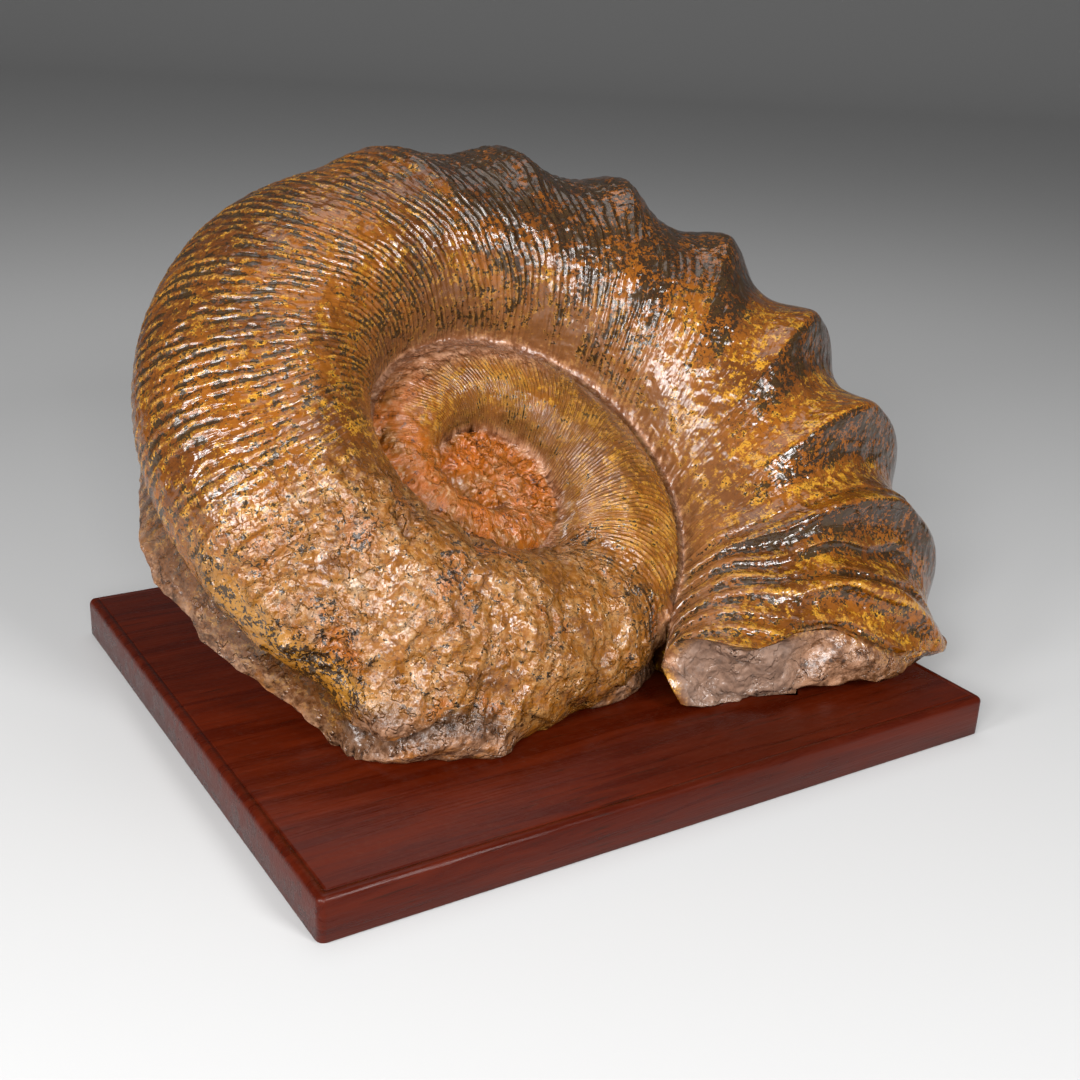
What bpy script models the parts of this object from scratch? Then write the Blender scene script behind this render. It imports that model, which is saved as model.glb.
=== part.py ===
"""A large ammonite, still in some of its stone, leaning back on a mahogany display board.

Metres, +Z up. The origin is the centre of the board's underside, with +X along the front edge
and +Y to the back. The shell is one logarithmic spiral: every section is the one before it,
turned about the coiling axis and grown by the same factor.
"""
import math

import bmesh
import bpy
from mathutils import Vector, noise

# --- the board ---------------------------------------------------------------------------
BOARD_WIDTH = 0.400
BOARD_DEPTH = 0.344
BOARD_THICKNESS = 0.023
BOARD_CORNER_RADIUS = 0.004
BOARD_ARRIS_RADIUS = 0.0035
BOARD_CORNER_STEPS = 4
BOARD_ARRIS_STEPS = 3
ROUND_PROFILE = 0.5
BOARD_COLOUR = (0.13, 0.03, 0.015)
BOARD_ROUGHNESS = 0.3
CONTACT_GAP = 0.0003

# --- how the coil lies -------------------------------------------------------------------
COIL_CENTRE = Vector((-0.0197, 0.0164, 0.1193))
LEAN_BACK = math.radians(50.9)        # of the coil's plane, from upright
TURN_ASIDE = math.radians(8.3)        # of the coil's plane, from the board's front edge

# --- the spiral; lengths are shares of the keel's radius where they are measured -----------
MOUTH_ANGLE = math.radians(-55.4)
MOUTH_RADIUS = 0.329
GROWTH = 0.15                         # natural log of the radius, per radian
SHOULDER_RADIUS = 0.6254
HALF_BREADTH = 0.3312
SECTION_POWER = 1.893
SEAM_RADIUS = 0.3845
SEAM_HEIGHT = 0.0695
TURN = 2 * math.pi
TURN_SHRINK = math.exp(-GROWTH * TURN)

# --- the gap by the mouth, where the last whorl stands free of the one inside it -----------
GAP_ANGLE = math.radians(-62.0)
GAP_OPENING_NEAR = 0.10               # per radian past the gap's tip, at the near seam
GAP_ROUNDING = 0.05
GAP_OPENING_DEEP = 0.60               # the same, from the keel inwards
HORN_COLUMNS = 8

# --- the mouth's end is flatter and a little tighter than the spiral ------------------------
FLATTEN_FROM = math.radians(20.0)
FLATTEN_TO = math.radians(-65.0)
MOUTH_FLATNESS = 0.40
MOUTH_TIGHTNESS = 0.03

# --- columns round the coil and rows over the section --------------------------------------
RIBBED_FROM = math.radians(64.0)
RIBBED_TO = math.radians(204.0)
RIB_COUNT = 62
PLAIN_COLUMNS = 54
INNER_TURNS = 1.22                    # seen in the umbilicus, inside the last whorl
NEAR_LEVEL_SHARE = 0.2                # of a turn, where the innermost whorl sinks to the heart
FAR_LEVEL_COLUMNS = 8                 # where the far side sinks to meet the gap's tip
HEART_HEIGHT = 0.10
BACK_HEIGHT = -0.12
NEAR_ROWS = (0.0, 0.30, 0.589, 0.85, 1.10, 1.35, math.pi / 2)
SEAM_ROW = 2                          # the row where the next whorl out would sit
WALL_STEPS = 3
FAR_ROWS = (0.0, 0.20, 0.42, 0.85, 1.25, math.pi / 2)
FAR_SEAM_ROW = 2

SHELL_COLOUR = (0.36, 0.19, 0.07)
SHELL_ROUGHNESS = 0.25

# --- relief ------------------------------------------------------------------------------
FOLD_FIRST = math.radians(-42.3)
FOLD_SPACING = math.radians(13.9)     # at the mouth
FOLD_WIDENING = math.radians(0.62)    # each fold's spacing grows by twice this from the last
FOLD_MOUTH_LEAST = 0.35
FOLD_MOUTH_FADE = (-0.5, 2.0)
FOLD_COUNT = 8
FOLD_HEIGHT = 0.058
FOLD_SKEW = 0.55
FOLD_SHARPNESS = 1.5
FOLD_DATUM = 0.3                      # of a fold's height, level with the plain section
FOLD_END = 0.4                        # of a fold's spacing, past the last crest
FOLD_FADE = 4.4                       # folds over which they sink towards the ribs
FOLD_LEAST = 0.25
FOLD_REACH = (math.pi / 2 + 0.2, 0.8)  # slopes where a fold ends and where it is full
RIB_HEIGHT = 0.0065
RIB_FADE_IN = 0.3
RIB_FADE_OUT = 0.4
RIB_FADE_FAR = 0.1
WEAR_HEIGHT = 0.020
WEAR_SIZE = 0.045
WORN_FROM = math.radians(170.0)
WORN_TO = math.radians(296.0)
WORN_FADE = 0.4
SKIRT_FROM = math.radians(210.0)      # the stone's lower front edge, which stands forward
SKIRT_TO = math.radians(254.0)
SKIRT_FADE = 0.24
SKIRT_PROUD = 0.110
SKIRT_SLOPE = 0.50

# --- the stone ---------------------------------------------------------------------------
STONE_FROM = math.radians(150.0)
STONE_TO = math.radians(296.0)
STONE_EDGE = 0.25                     # slope past the keel where the stone's ledge starts
STONE_PROUD = 0.085
STONE_FADE_IN = 0.5
STONE_FADE_OUT = 0.25
STONE_UNEVEN = 0.35
STONE_UNEVEN_SIZE = 0.033
PLINTH_SEGMENTS = 26
PLINTH_RINGS = 4
PLINTH_CENTRE = Vector((0.035, 0.028))
PLINTH_HALF_WIDTH = 0.140
PLINTH_HALF_DEPTH = 0.118
PLINTH_BULGE = 0.020
PLINTH_TOP_REACH = (0.36, 0.60)       # least and full share of the keel's radius
PLINTH_TOP_FADE = 0.6
PLINTH_TOP_HEIGHT = -0.02
PLINTH_BURIED = 0.010
PLINTH_NOTCH_AT = math.radians(-66.0)
PLINTH_NOTCH_WIDTH = 0.9
PLINTH_NOTCH = 0.42
STONE_LUMP = 0.007
STONE_LUMP_SIZE = 0.045
LUMP_SOFTNESS = 0.8
LUMP_STEP = 2.1                       # how much finer each layer of lumps is than the last
LUMP_LAYERS = 3

# --- the broken end: a rough face, nearly upright -------------------------------------------
BREAK_POINT = Vector((0.1036, -0.1288, 0.0413))
BREAK_NORMAL = Vector((-0.17, -0.89, -0.41)).normalized()
BREAK_SEARCH = (math.radians(10.0), math.radians(-127.0))
BREAK_LATEST = math.radians(-27.0)
FREE_END_LEAST = math.radians(6.0)
SHEAR_COLUMNS = 14
BREAK_HUB = (math.radians(-66.0), 0.60, 0.02)
BREAK_LUMP = 0.005
BREAK_LUMP_SIZE = 0.03
BREAK_RINGS = (0.30, 0.45)
HALVINGS = 24

FLOOR_DEPTH = 0.6
FLOOR_WIDTH = 2.0


def smooth(low, high, value):
    """Goes from 0 at low to 1 at high with level ends."""
    share = min(max((value - low) / (high - low), 0.0), 1.0)
    return share * share * (3 - 2 * share)


def between(start, rise, end, fall, value):
    """1 between start and end, fading to 0 at both over the given lengths."""
    return smooth(start, start + rise, value) * smooth(end, end - fall, value)


def coil_axes():
    """The coil plane's level and rising directions, and its axis towards the near side."""
    level = Vector((math.cos(TURN_ASIDE), math.sin(TURN_ASIDE), 0))
    axis = Vector((math.sin(TURN_ASIDE) * math.cos(LEAN_BACK),
                   -math.cos(TURN_ASIDE) * math.cos(LEAN_BACK),
                   math.sin(LEAN_BACK)))
    return level, axis.cross(level), axis


def mouth_share(angle):
    """0 on the regular spiral, rising to 1 at the mouth's end."""
    return smooth(FLATTEN_FROM, FLATTEN_TO, angle)


def keel_radius(angle):
    regular = MOUTH_RADIUS * math.exp(-GROWTH * (angle - MOUTH_ANGLE))
    return regular * (1 - MOUTH_TIGHTNESS * mouth_share(angle))


def half_breadth(angle):
    return HALF_BREADTH * (1 - MOUTH_FLATNESS * mouth_share(angle))


def coil_point(angle, radius, height):
    """A point from its angle, and its radius and height as shares of the keel's radius."""
    level, rising, axis = coil_axes()
    size = keel_radius(angle)
    outward = level * math.cos(angle) + rising * math.sin(angle)
    return COIL_CENTRE + outward * (size * radius) + axis * (size * height)


def fold(angle):
    """The coarse folds of the last half whorl, from below 0 between them to above it on a crest."""
    from_first = angle - FOLD_FIRST
    if from_first < 0:
        phase = from_first / FOLD_SPACING
    else:
        root = math.sqrt(FOLD_SPACING ** 2 + 4 * FOLD_WIDENING * from_first)
        phase = (root - FOLD_SPACING) / (2 * FOLD_WIDENING)
    last = FOLD_COUNT + FOLD_END
    level = -FOLD_DATUM * smooth(last, last - 1, phase)
    if FOLD_END - 1 < phase < FOLD_COUNT - FOLD_END:
        turn = TURN * phase
        crest = (1 + math.cos(turn + FOLD_SKEW * math.sin(turn))) / 2
        fade = FOLD_LEAST + (1 - FOLD_LEAST) * smooth(last, last - FOLD_FADE, phase)
        mouth = FOLD_MOUTH_LEAST + (1 - FOLD_MOUTH_LEAST) * smooth(*FOLD_MOUTH_FADE, phase)
        level += crest ** FOLD_SHARPNESS * fade * mouth
    return level


def column_angles():
    """One turn's columns from the gap: a pair for each rib, and wider ones elsewhere."""
    start, end = GAP_ANGLE, GAP_ANGLE + TURN
    before = RIBBED_FROM - start
    after = end - RIBBED_TO
    first = round(PLAIN_COLUMNS * before / (before + after))
    angles = [start + before * step / first for step in range(first)]
    pairs = 2 * RIB_COUNT
    angles += [RIBBED_FROM + (RIBBED_TO - RIBBED_FROM) * step / pairs for step in range(pairs)]
    last = PLAIN_COLUMNS - first
    angles += [RIBBED_TO + after * step / last for step in range(last)]
    return angles


def relief(angle, slope, column):
    """How far the near or far surface stands out, as a share of the keel's radius."""
    height = FOLD_HEIGHT * fold(angle) * smooth(*FOLD_REACH, abs(slope))
    if RIBBED_FROM <= angle < RIBBED_TO and column % 2:
        ends = between(RIBBED_FROM, RIB_FADE_IN, RIBBED_TO, RIB_FADE_OUT, angle)
        height += RIB_HEIGHT * ends * smooth(-STONE_EDGE, -STONE_EDGE + RIB_FADE_FAR, slope)
    worn = between(WORN_FROM, WORN_FADE, WORN_TO, WORN_FADE, angle)
    if worn > 0:
        height += WEAR_HEIGHT * worn * noise.noise(coil_point(angle, 1, slope) / WEAR_SIZE)
    skirt = between(SKIRT_FROM, SKIRT_FADE, SKIRT_TO, SKIRT_FADE, angle)
    return height + SKIRT_PROUD * skirt * smooth(SKIRT_SLOPE, 0, slope)


def near_section(angle, column):
    """Radius and height of each row from the keel over the flank to the seam."""
    power = 2 / SECTION_POWER
    breadth = half_breadth(angle)
    rows = []
    for slope in NEAR_ROWS:
        out = relief(angle, slope, column)
        radius = SHOULDER_RADIUS + (1 - SHOULDER_RADIUS) * math.cos(slope) ** power
        height = breadth * math.sin(slope) ** power
        rows.append((radius + out * math.cos(slope), height + out * math.sin(slope)))
    for step in range(1, WALL_STEPS + 1):
        turn = step / WALL_STEPS * math.pi / 2
        radius = SHOULDER_RADIUS + (SEAM_RADIUS - SHOULDER_RADIUS) * math.sin(turn)
        height = SEAM_HEIGHT + (breadth - SEAM_HEIGHT) * math.cos(turn)
        rows.append((radius, height))
    return rows


def levelled(rows, seam_row, share):
    """Sinks the rows past the seam row towards a straight line, where a whorl ends."""
    start, end = Vector(rows[seam_row]), Vector(rows[-1])
    for row in range(seam_row + 1, len(rows) - 1):
        along = (row - seam_row) / (len(rows) - 1 - seam_row)
        rows[row] = tuple(Vector(rows[row]).lerp(start.lerp(end, along), share))
    return rows


def stone_cover(angle):
    """1 where the far side is still wrapped in stone, fading to 0 at both ends."""
    return between(STONE_FROM, STONE_FADE_IN, STONE_TO, STONE_FADE_OUT, angle)


def far_section(angle, column):
    """As the near section, on the far side, where stone wraps the lower part."""
    power = 2 / SECTION_POWER
    breadth = half_breadth(angle)
    rows = []
    for slope in FAR_ROWS:
        out = relief(angle, -slope, column)
        if slope > STONE_EDGE:
            spot = coil_point(angle, 1, -slope) / STONE_UNEVEN_SIZE
            uneven = 1 + STONE_UNEVEN * noise.noise(spot)
            out += STONE_PROUD * stone_cover(angle) * uneven
        radius = SHOULDER_RADIUS + (1 - SHOULDER_RADIUS) * math.cos(slope) ** power
        height = -breadth * math.sin(slope) ** power
        rows.append((radius + out * math.cos(slope), height - out * math.sin(slope)))
    rows.append((SEAM_RADIUS, -SEAM_HEIGHT))
    return rows


def roughen(point, amount, size):
    """A lumpy offset for stone, the same wherever the same point is asked for."""
    return amount * noise.fractal(point / size, LUMP_SOFTNESS, LUMP_STEP, LUMP_LAYERS)


def break_lump(point):
    return BREAK_NORMAL * max(roughen(point, BREAK_LUMP, BREAK_LUMP_SIZE), 0.0)


class Coil:
    """Builds the spiral sheet, with each seam shared by the two whorls that meet there."""

    def __init__(self, mesh):
        self.mesh = mesh
        self.angles = column_angles()
        self.turn = len(self.angles)
        self.last = self.turn + round(self.turn * INNER_TURNS)
        self.fade = round(self.turn * NEAR_LEVEL_SHARE)
        self.seam = len(NEAR_ROWS) + WALL_STEPS - 1
        self.far_seam = len(FAR_ROWS)
        self.verts = {}
        self.ends = {}

    def angle(self, column):
        return self.angles[column % self.turn] + TURN * (column // self.turn)

    def key(self, column, side, row):
        if side == "far" and row == 0:
            side = "near"
        if side == "near" and row == SEAM_ROW and column >= self.turn:
            return self.key(column - self.turn, "near", self.seam)
        if side == "far" and row == FAR_SEAM_ROW and column == self.turn:
            return (0, "far", self.far_seam)
        if side == "inside" and column == 0:
            return self.key(self.turn, "near" if row >= 0 else "far", abs(row))
        if side == "inside" and row == SEAM_ROW:
            return (column, "near", self.seam)
        if side == "inside" and row == -FAR_SEAM_ROW:
            return (column, "far", self.far_seam)
        return (column, side, row)

    def section_point(self, angle, side, row, column):
        """A row's point at an angle; past the gap's tip the whorl opens from the inner one."""
        past = max(GAP_ANGLE - angle, 0.0)
        past += GAP_ROUNDING * smooth(0.0, GAP_ROUNDING, past)
        if side == "inside":
            rows = near_section(angle + TURN, 0) if row >= 0 else far_section(angle + TURN, 0)
            radius, height = rows[abs(row)]
            deep = 1 - max(row, 0) / SEAM_ROW
            opening = past * (GAP_OPENING_NEAR + (GAP_OPENING_DEEP - GAP_OPENING_NEAR) * deep)
            return coil_point(angle, TURN_SHRINK * radius + opening, TURN_SHRINK * height)
        if side == "near":
            rows = near_section(angle, column)
            rows = levelled(rows, SEAM_ROW, smooth(self.last - self.fade, self.last, column))
        else:
            rows = far_section(angle, column)
            level_from = self.turn - FAR_LEVEL_COLUMNS
            rows = levelled(rows, FAR_SEAM_ROW, smooth(level_from, self.turn, column))
        radius, height = rows[row]
        if side == "near" and row == self.seam:
            radius += past * GAP_OPENING_NEAR
        if side == "far" and row == self.far_seam:
            radius += past * GAP_OPENING_DEEP
        return coil_point(angle, radius, height)

    def break_angle(self, side, row):
        """Where a row of the free end reaches the plane of the break, by halving."""
        if (side, row) not in self.ends:
            self.ends[(side, row)] = self.find_break(side, row)
        return self.ends[(side, row)]

    def find_break(self, side, row):
        near, far = BREAK_SEARCH
        for _ in range(HALVINGS):
            middle = (near + far) / 2
            point = self.section_point(middle, side, row, 0)
            if (point - BREAK_POINT).dot(BREAK_NORMAL) < 0:
                near = middle
            else:
                far = middle
        return min(near, BREAK_LATEST)

    def place(self, column, side, row):
        """The vertex's point from its key's own section, its row sheared to meet the break."""
        if column >= SHEAR_COLUMNS:
            return self.section_point(self.angle(column), side, row, column)
        end = self.break_angle(side, row)
        shear = max(end + FREE_END_LEAST - GAP_ANGLE, 0.0)
        if (side, row) in (("near", self.seam), ("far", self.far_seam)) or side == "inside":
            shear = 0.0
        if column >= 0:
            angle = self.angle(column) + shear * (1 - column / SHEAR_COLUMNS)
            return self.section_point(angle, side, row, column)
        share = column / -HORN_COLUMNS
        start = GAP_ANGLE + shear
        point = self.section_point(start + (min(end, start - FREE_END_LEAST) - start) * share,
                                   side, row, 0)
        if share == 1:
            point += break_lump(point)
        return point

    def vert(self, column, side, row):
        key = self.key(column, side, row)
        if key not in self.verts:
            self.verts[key] = self.mesh.verts.new(self.place(*key))
        return self.verts[key]

    def strip(self, first, last, side, rows):
        """Quads between neighbouring columns, from first to last, over the given rows."""
        for column in range(first, last):
            for low, high in zip(rows, rows[1:]):
                corners = [self.vert(column, side, low), self.vert(column + 1, side, low),
                           self.vert(column + 1, side, high), self.vert(column, side, high)]
                self.mesh.faces.new(corners)

    def fan(self, loop, centre):
        hub = self.mesh.verts.new(centre)
        for one, two in zip(loop, loop[1:] + loop[:1]):
            self.mesh.faces.new((one, two, hub))

    def build(self):
        near = list(range(self.seam + 1))
        far = list(range(self.far_seam + 1))
        inside = list(range(-FAR_SEAM_ROW, SEAM_ROW + 1))
        self.strip(-HORN_COLUMNS, self.turn, "near", near)
        self.strip(self.turn, self.last, "near", near[SEAM_ROW:])
        self.strip(-HORN_COLUMNS, self.turn, "far", far)
        self.strip(-HORN_COLUMNS, 0, "inside", inside)
        end = -HORN_COLUMNS
        mouth = [self.vert(end, "near", row) for row in near]
        mouth += [self.vert(end, "inside", row) for row in reversed(inside[1:-1])]
        mouth += [self.vert(end, "far", row) for row in reversed(far[1:])]
        middle = coil_point(*BREAK_HUB)
        middle -= BREAK_NORMAL * (middle - BREAK_POINT).dot(BREAK_NORMAL)
        for share in BREAK_RINGS:
            inner = []
            for vert in mouth:
                point = vert.co.lerp(middle, share)
                inner.append(self.mesh.verts.new(point + break_lump(point)))
            for index, vert in enumerate(mouth):
                after = (index + 1) % len(mouth)
                self.mesh.faces.new((vert, mouth[after], inner[after], inner[index]))
            mouth = inner
        self.fan(mouth, middle)
        heart = [self.vert(self.last, "near", row) for row in near[SEAM_ROW:]]
        heart += [self.vert(column, "near", self.seam)
                  for column in range(self.last - 1, self.last - self.turn, -1)]
        self.fan(heart, coil_point(self.angle(self.last), 0.0, HEART_HEIGHT))
        back = [self.vert(column, "far", self.far_seam) for column in range(self.turn + 1)]
        back += [self.vert(self.turn, "far", row)
                 for row in range(self.far_seam - 1, FAR_SEAM_ROW, -1)]
        self.fan(back, coil_point(GAP_ANGLE, 0.0, BACK_HEIGHT))


def build_plinth(mesh):
    """The stone under the coil, from inside the far flank down to below the board's top."""
    rings = []
    for ring in range(PLINTH_RINGS + 1):
        share = ring / PLINTH_RINGS
        points = []
        for segment in range(PLINTH_SEGMENTS):
            angle = GAP_ANGLE + TURN * (segment + 0.5) / PLINTH_SEGMENTS
            least, full = PLINTH_TOP_REACH
            reach = full * smooth(0.0, PLINTH_TOP_FADE, angle - GAP_ANGLE)
            top = coil_point(angle, max(reach, least), PLINTH_TOP_HEIGHT)
            turn = angle + TURN_ASIDE
            away = abs(math.remainder(angle - PLINTH_NOTCH_AT, TURN))
            size = 1 - PLINTH_NOTCH * smooth(PLINTH_NOTCH_WIDTH, 0.0, away)
            foot = Vector((PLINTH_CENTRE.x + PLINTH_HALF_WIDTH * size * math.cos(turn),
                           PLINTH_CENTRE.y + PLINTH_HALF_DEPTH * size * math.sin(turn),
                           BOARD_THICKNESS - PLINTH_BURIED))
            point = top.lerp(foot, share)
            side = Vector((math.cos(turn), math.sin(turn), 0))
            point += side * PLINTH_BULGE * math.sin(math.pi * share)
            if ring > 0:
                point += side * roughen(point, STONE_LUMP, STONE_LUMP_SIZE)
            points.append(mesh.verts.new(point))
        rings.append(points)
    for upper, lower in zip(rings, rings[1:]):
        for index in range(PLINTH_SEGMENTS):
            after = (index + 1) % PLINTH_SEGMENTS
            mesh.faces.new((upper[index], lower[index], lower[after], upper[after]))
    mesh.faces.new(rings[0])
    mesh.faces.new(rings[-1][::-1])


def material(name, colour, roughness):
    made = bpy.data.materials.new(name)
    made.use_nodes = True
    shader = made.node_tree.nodes["Principled BSDF"]
    shader.inputs["Base Color"].default_value = (*colour, 1)
    shader.inputs["Roughness"].default_value = roughness
    shader.inputs["Metallic"].default_value = 0.0
    return made


def mesh_object(name, fill, collection):
    """A new object whose mesh is made by fill, closed and with its faces outwards."""
    mesh = bmesh.new()
    fill(mesh)
    bmesh.ops.recalc_face_normals(mesh, faces=mesh.faces)
    data = bpy.data.meshes.new(name)
    mesh.to_mesh(data)
    mesh.free()
    made = bpy.data.objects.new(name, data)
    collection.objects.link(made)
    return made


def cutter(name, fill, collection):
    made = mesh_object(name, fill, collection)
    made.hide_render = True
    made.display_type = "WIRE"
    return made


def boolean(target, tool, operation):
    step = target.modifiers.new(tool.name, "BOOLEAN")
    step.operation = operation
    step.solver = "EXACT"
    step.use_self = True
    step.object = tool


def build_floor(mesh):
    """Everything below the board's top, so that the stone is cut flat where it stands."""
    bmesh.ops.create_cube(mesh, size=1)
    bmesh.ops.scale(mesh, vec=(FLOOR_WIDTH, FLOOR_WIDTH, FLOOR_DEPTH), verts=mesh.verts)
    top = BOARD_THICKNESS + CONTACT_GAP
    bmesh.ops.translate(mesh, vec=(0, 0, top - FLOOR_DEPTH / 2), verts=mesh.verts)


def build_slab(mesh):
    bmesh.ops.create_cube(mesh, size=1)
    bmesh.ops.scale(mesh, vec=(BOARD_WIDTH, BOARD_DEPTH, BOARD_THICKNESS), verts=mesh.verts)
    bmesh.ops.translate(mesh, vec=(0, 0, BOARD_THICKNESS / 2), verts=mesh.verts)
    upright = [edge for edge in mesh.edges
               if abs(edge.verts[0].co.z - edge.verts[1].co.z) > BOARD_THICKNESS / 2]
    bmesh.ops.bevel(mesh, geom=upright, offset=BOARD_CORNER_RADIUS,
                    segments=BOARD_CORNER_STEPS,
                    profile=ROUND_PROFILE, affect="EDGES")
    rim = [edge for edge in mesh.edges
           if all(vert.co.z > BOARD_THICKNESS / 2 for vert in edge.verts)
           and len({round(face.normal.z) for face in edge.link_faces}) > 1]
    bmesh.ops.bevel(mesh, geom=rim, offset=BOARD_ARRIS_RADIUS, segments=BOARD_ARRIS_STEPS,
                    profile=ROUND_PROFILE, affect="EDGES")


def build():
    for old in list(bpy.data.objects):
        bpy.data.objects.remove(old, do_unlink=True)
    scene = bpy.context.scene.collection
    model = bpy.data.collections.new("ammonite fossil")
    tools = bpy.data.collections.new("cutters")
    scene.children.link(model)
    scene.children.link(tools)

    ammonite = mesh_object("ammonite", lambda mesh: Coil(mesh).build(), model)
    ammonite.data.materials.append(material("polished shell", SHELL_COLOUR, SHELL_ROUGHNESS))
    boolean(ammonite, cutter("plinth", build_plinth, tools), "UNION")
    boolean(ammonite, cutter("floor", build_floor, tools), "DIFFERENCE")

    board = mesh_object("board", build_slab, model)
    board.data.materials.append(material("mahogany", BOARD_COLOUR, BOARD_ROUGHNESS))


build()
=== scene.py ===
# %% [markdown]
# # A large ammonite on a mahogany board
#
# An ammonite's shell grows by one rule. Every section is the one before it, turned about the
# coiling axis and made larger by the same factor, which is a logarithmic spiral. This lesson rolls
# a flat pattern up by that rule with Geometry Nodes, raises the folds and ribs on it with a second
# tree, and then gives the fossil, its stone and the board their finishes.
#
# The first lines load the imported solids. Everything after them is in metres, in the same place.

# %% Load the frame
import math
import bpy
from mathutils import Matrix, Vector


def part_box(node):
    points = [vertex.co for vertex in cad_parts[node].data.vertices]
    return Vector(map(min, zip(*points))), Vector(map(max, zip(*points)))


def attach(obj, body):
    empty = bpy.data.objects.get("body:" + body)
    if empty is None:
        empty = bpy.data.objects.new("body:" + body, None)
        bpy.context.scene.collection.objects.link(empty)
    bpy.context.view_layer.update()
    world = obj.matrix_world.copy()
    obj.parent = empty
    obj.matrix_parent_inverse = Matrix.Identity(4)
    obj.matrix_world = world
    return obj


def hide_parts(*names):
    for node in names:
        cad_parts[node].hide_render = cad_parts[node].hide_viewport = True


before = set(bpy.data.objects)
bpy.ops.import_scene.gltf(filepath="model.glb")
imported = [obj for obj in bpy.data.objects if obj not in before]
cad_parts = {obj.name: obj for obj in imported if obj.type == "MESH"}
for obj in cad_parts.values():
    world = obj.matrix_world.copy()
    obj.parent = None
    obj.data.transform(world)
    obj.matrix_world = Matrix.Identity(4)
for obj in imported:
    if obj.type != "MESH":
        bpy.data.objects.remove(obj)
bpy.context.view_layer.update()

from types import SimpleNamespace

import bmesh
import bpy
import numpy as np
from mathutils import Matrix, Vector

fossil_low, fossil_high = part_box("ammonite")
board_low, board_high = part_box("board")

# %% [markdown]
# ## The camera
#
# A camera's place, its heading and its lens fix how the board's edges run together. It could be
# aimed with a constraint, but a matrix made from three directions states the roll as well.

# %% Camera
CAMERA_PLACE = Vector((-0.394164, -0.625024, 0.376476))
CAMERA_AZIMUTH = math.radians(-32.974)
CAMERA_ELEVATION = math.radians(21.253)
CAMERA_ROLL = math.radians(2.973)
CAMERA_LENS = 46.898


def place_camera():
    """Makes the scene's camera from its place and its three angles."""
    flat, rise = math.cos(CAMERA_ELEVATION), math.sin(CAMERA_ELEVATION)
    back = Vector((math.sin(CAMERA_AZIMUTH) * flat, -math.cos(CAMERA_AZIMUTH) * flat, rise))
    level = Vector((math.cos(CAMERA_AZIMUTH), math.sin(CAMERA_AZIMUTH), 0))
    upward = back.cross(level)
    right = level * math.cos(CAMERA_ROLL) + upward * math.sin(CAMERA_ROLL)
    up = upward * math.cos(CAMERA_ROLL) - level * math.sin(CAMERA_ROLL)
    camera = bpy.data.objects.new("camera", bpy.data.cameras.new("camera"))
    camera.data.lens = CAMERA_LENS
    camera.data.clip_start = 0.01
    turned = Matrix((right, up, back)).transposed().to_4x4()
    camera.matrix_world = Matrix.Translation(CAMERA_PLACE) @ turned
    bpy.context.scene.collection.objects.link(camera)
    bpy.context.scene.camera = camera
    return camera


print("camera with a", place_camera().data.lens, "mm lens")

# %% [markdown]
# ## Writing node trees as sums
#
# A rule such as a spiral takes dozens of Math nodes. They could be placed one by one, but it is
# easier to read them as arithmetic. A `Wire` is one value on its way through a tree, and adding or
# multiplying wires adds the nodes. The same helper serves geometry trees and shader trees.

# %% Wires


class Wire:
    """A value in a node tree. Arithmetic on wires adds Math nodes to their tree."""

    def __init__(self, tree, socket):
        self.tree, self.socket = tree, socket

    def calc(self, operation, *others):
        return calc(self.tree, operation, self, *others)

    def __add__(self, other):
        return self.calc("ADD", other)

    def __sub__(self, other):
        return self.calc("SUBTRACT", other)

    def __mul__(self, other):
        return self.calc("MULTIPLY", other)

    def __truediv__(self, other):
        return self.calc("DIVIDE", other)

    def __pow__(self, other):
        return self.calc("POWER", other)

    def __rsub__(self, other):
        return calc(self.tree, "SUBTRACT", other, self)

    def __neg__(self):
        return self * -1.0

    __radd__, __rmul__ = __add__, __mul__


def plug(tree, value, socket):
    """Joins a wire to a socket, or sets the socket's own value."""
    if isinstance(value, Wire):
        tree.links.new(value.socket, socket)
    else:
        socket.default_value = value


def put(tree, kind, settings=None, values=None, output=0):
    """Adds one node with its settings and its input values, and returns a wire from it."""
    node = tree.nodes.new(kind)
    for name, value in (settings or {}).items():
        setattr(node, name, value)
    for name, value in (values or {}).items():
        plug(tree, value, node.inputs[name])
    return Wire(tree, node.outputs[output])


def calc(tree, operation, *values):
    return put(tree, "ShaderNodeMath", {"operation": operation}, dict(enumerate(values)))


def smooth(low, high, wire):
    """0 at low and 1 at high with level ends; low may be the larger."""
    return put(wire.tree, "ShaderNodeMapRange", {"interpolation_type": "SMOOTHSTEP"},
               {"Value": wire, "From Min": low, "From Max": high})


def between(start, rise, end, fall, wire):
    """1 between start and end, fading to 0 at both."""
    return smooth(start, start + rise, wire) * smooth(end, end - fall, wire)


def lerp(one, two, share):
    return one + (two - one) * share


def clamp01(wire):
    return wire.calc("MAXIMUM", 0.0).calc("MINIMUM", 1.0)


def vector_calc(tree, operation, one, two):
    return put(tree, "ShaderNodeVectorMath", {"operation": operation}, {0: one, 1: two})


def scale_vector(tree, vector, amount):
    return put(tree, "ShaderNodeVectorMath", {"operation": "SCALE"}, {0: vector, "Scale": amount})


def grain(tree, size, detail=3.0, roughness=0.55, vector=None, stretch=None, distortion=0.0):
    """Noise about 0, from -0.5 to 0.5, whose lumps are about size across."""
    if stretch:
        vector = vector_calc(tree, "MULTIPLY", vector, stretch)
    values = {"Scale": 1.0 / size, "Detail": detail, "Roughness": roughness,
              "Distortion": distortion}
    if vector:
        values["Vector"] = vector
    return put(tree, "ShaderNodeTexNoise", values=values) - 0.5


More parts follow.
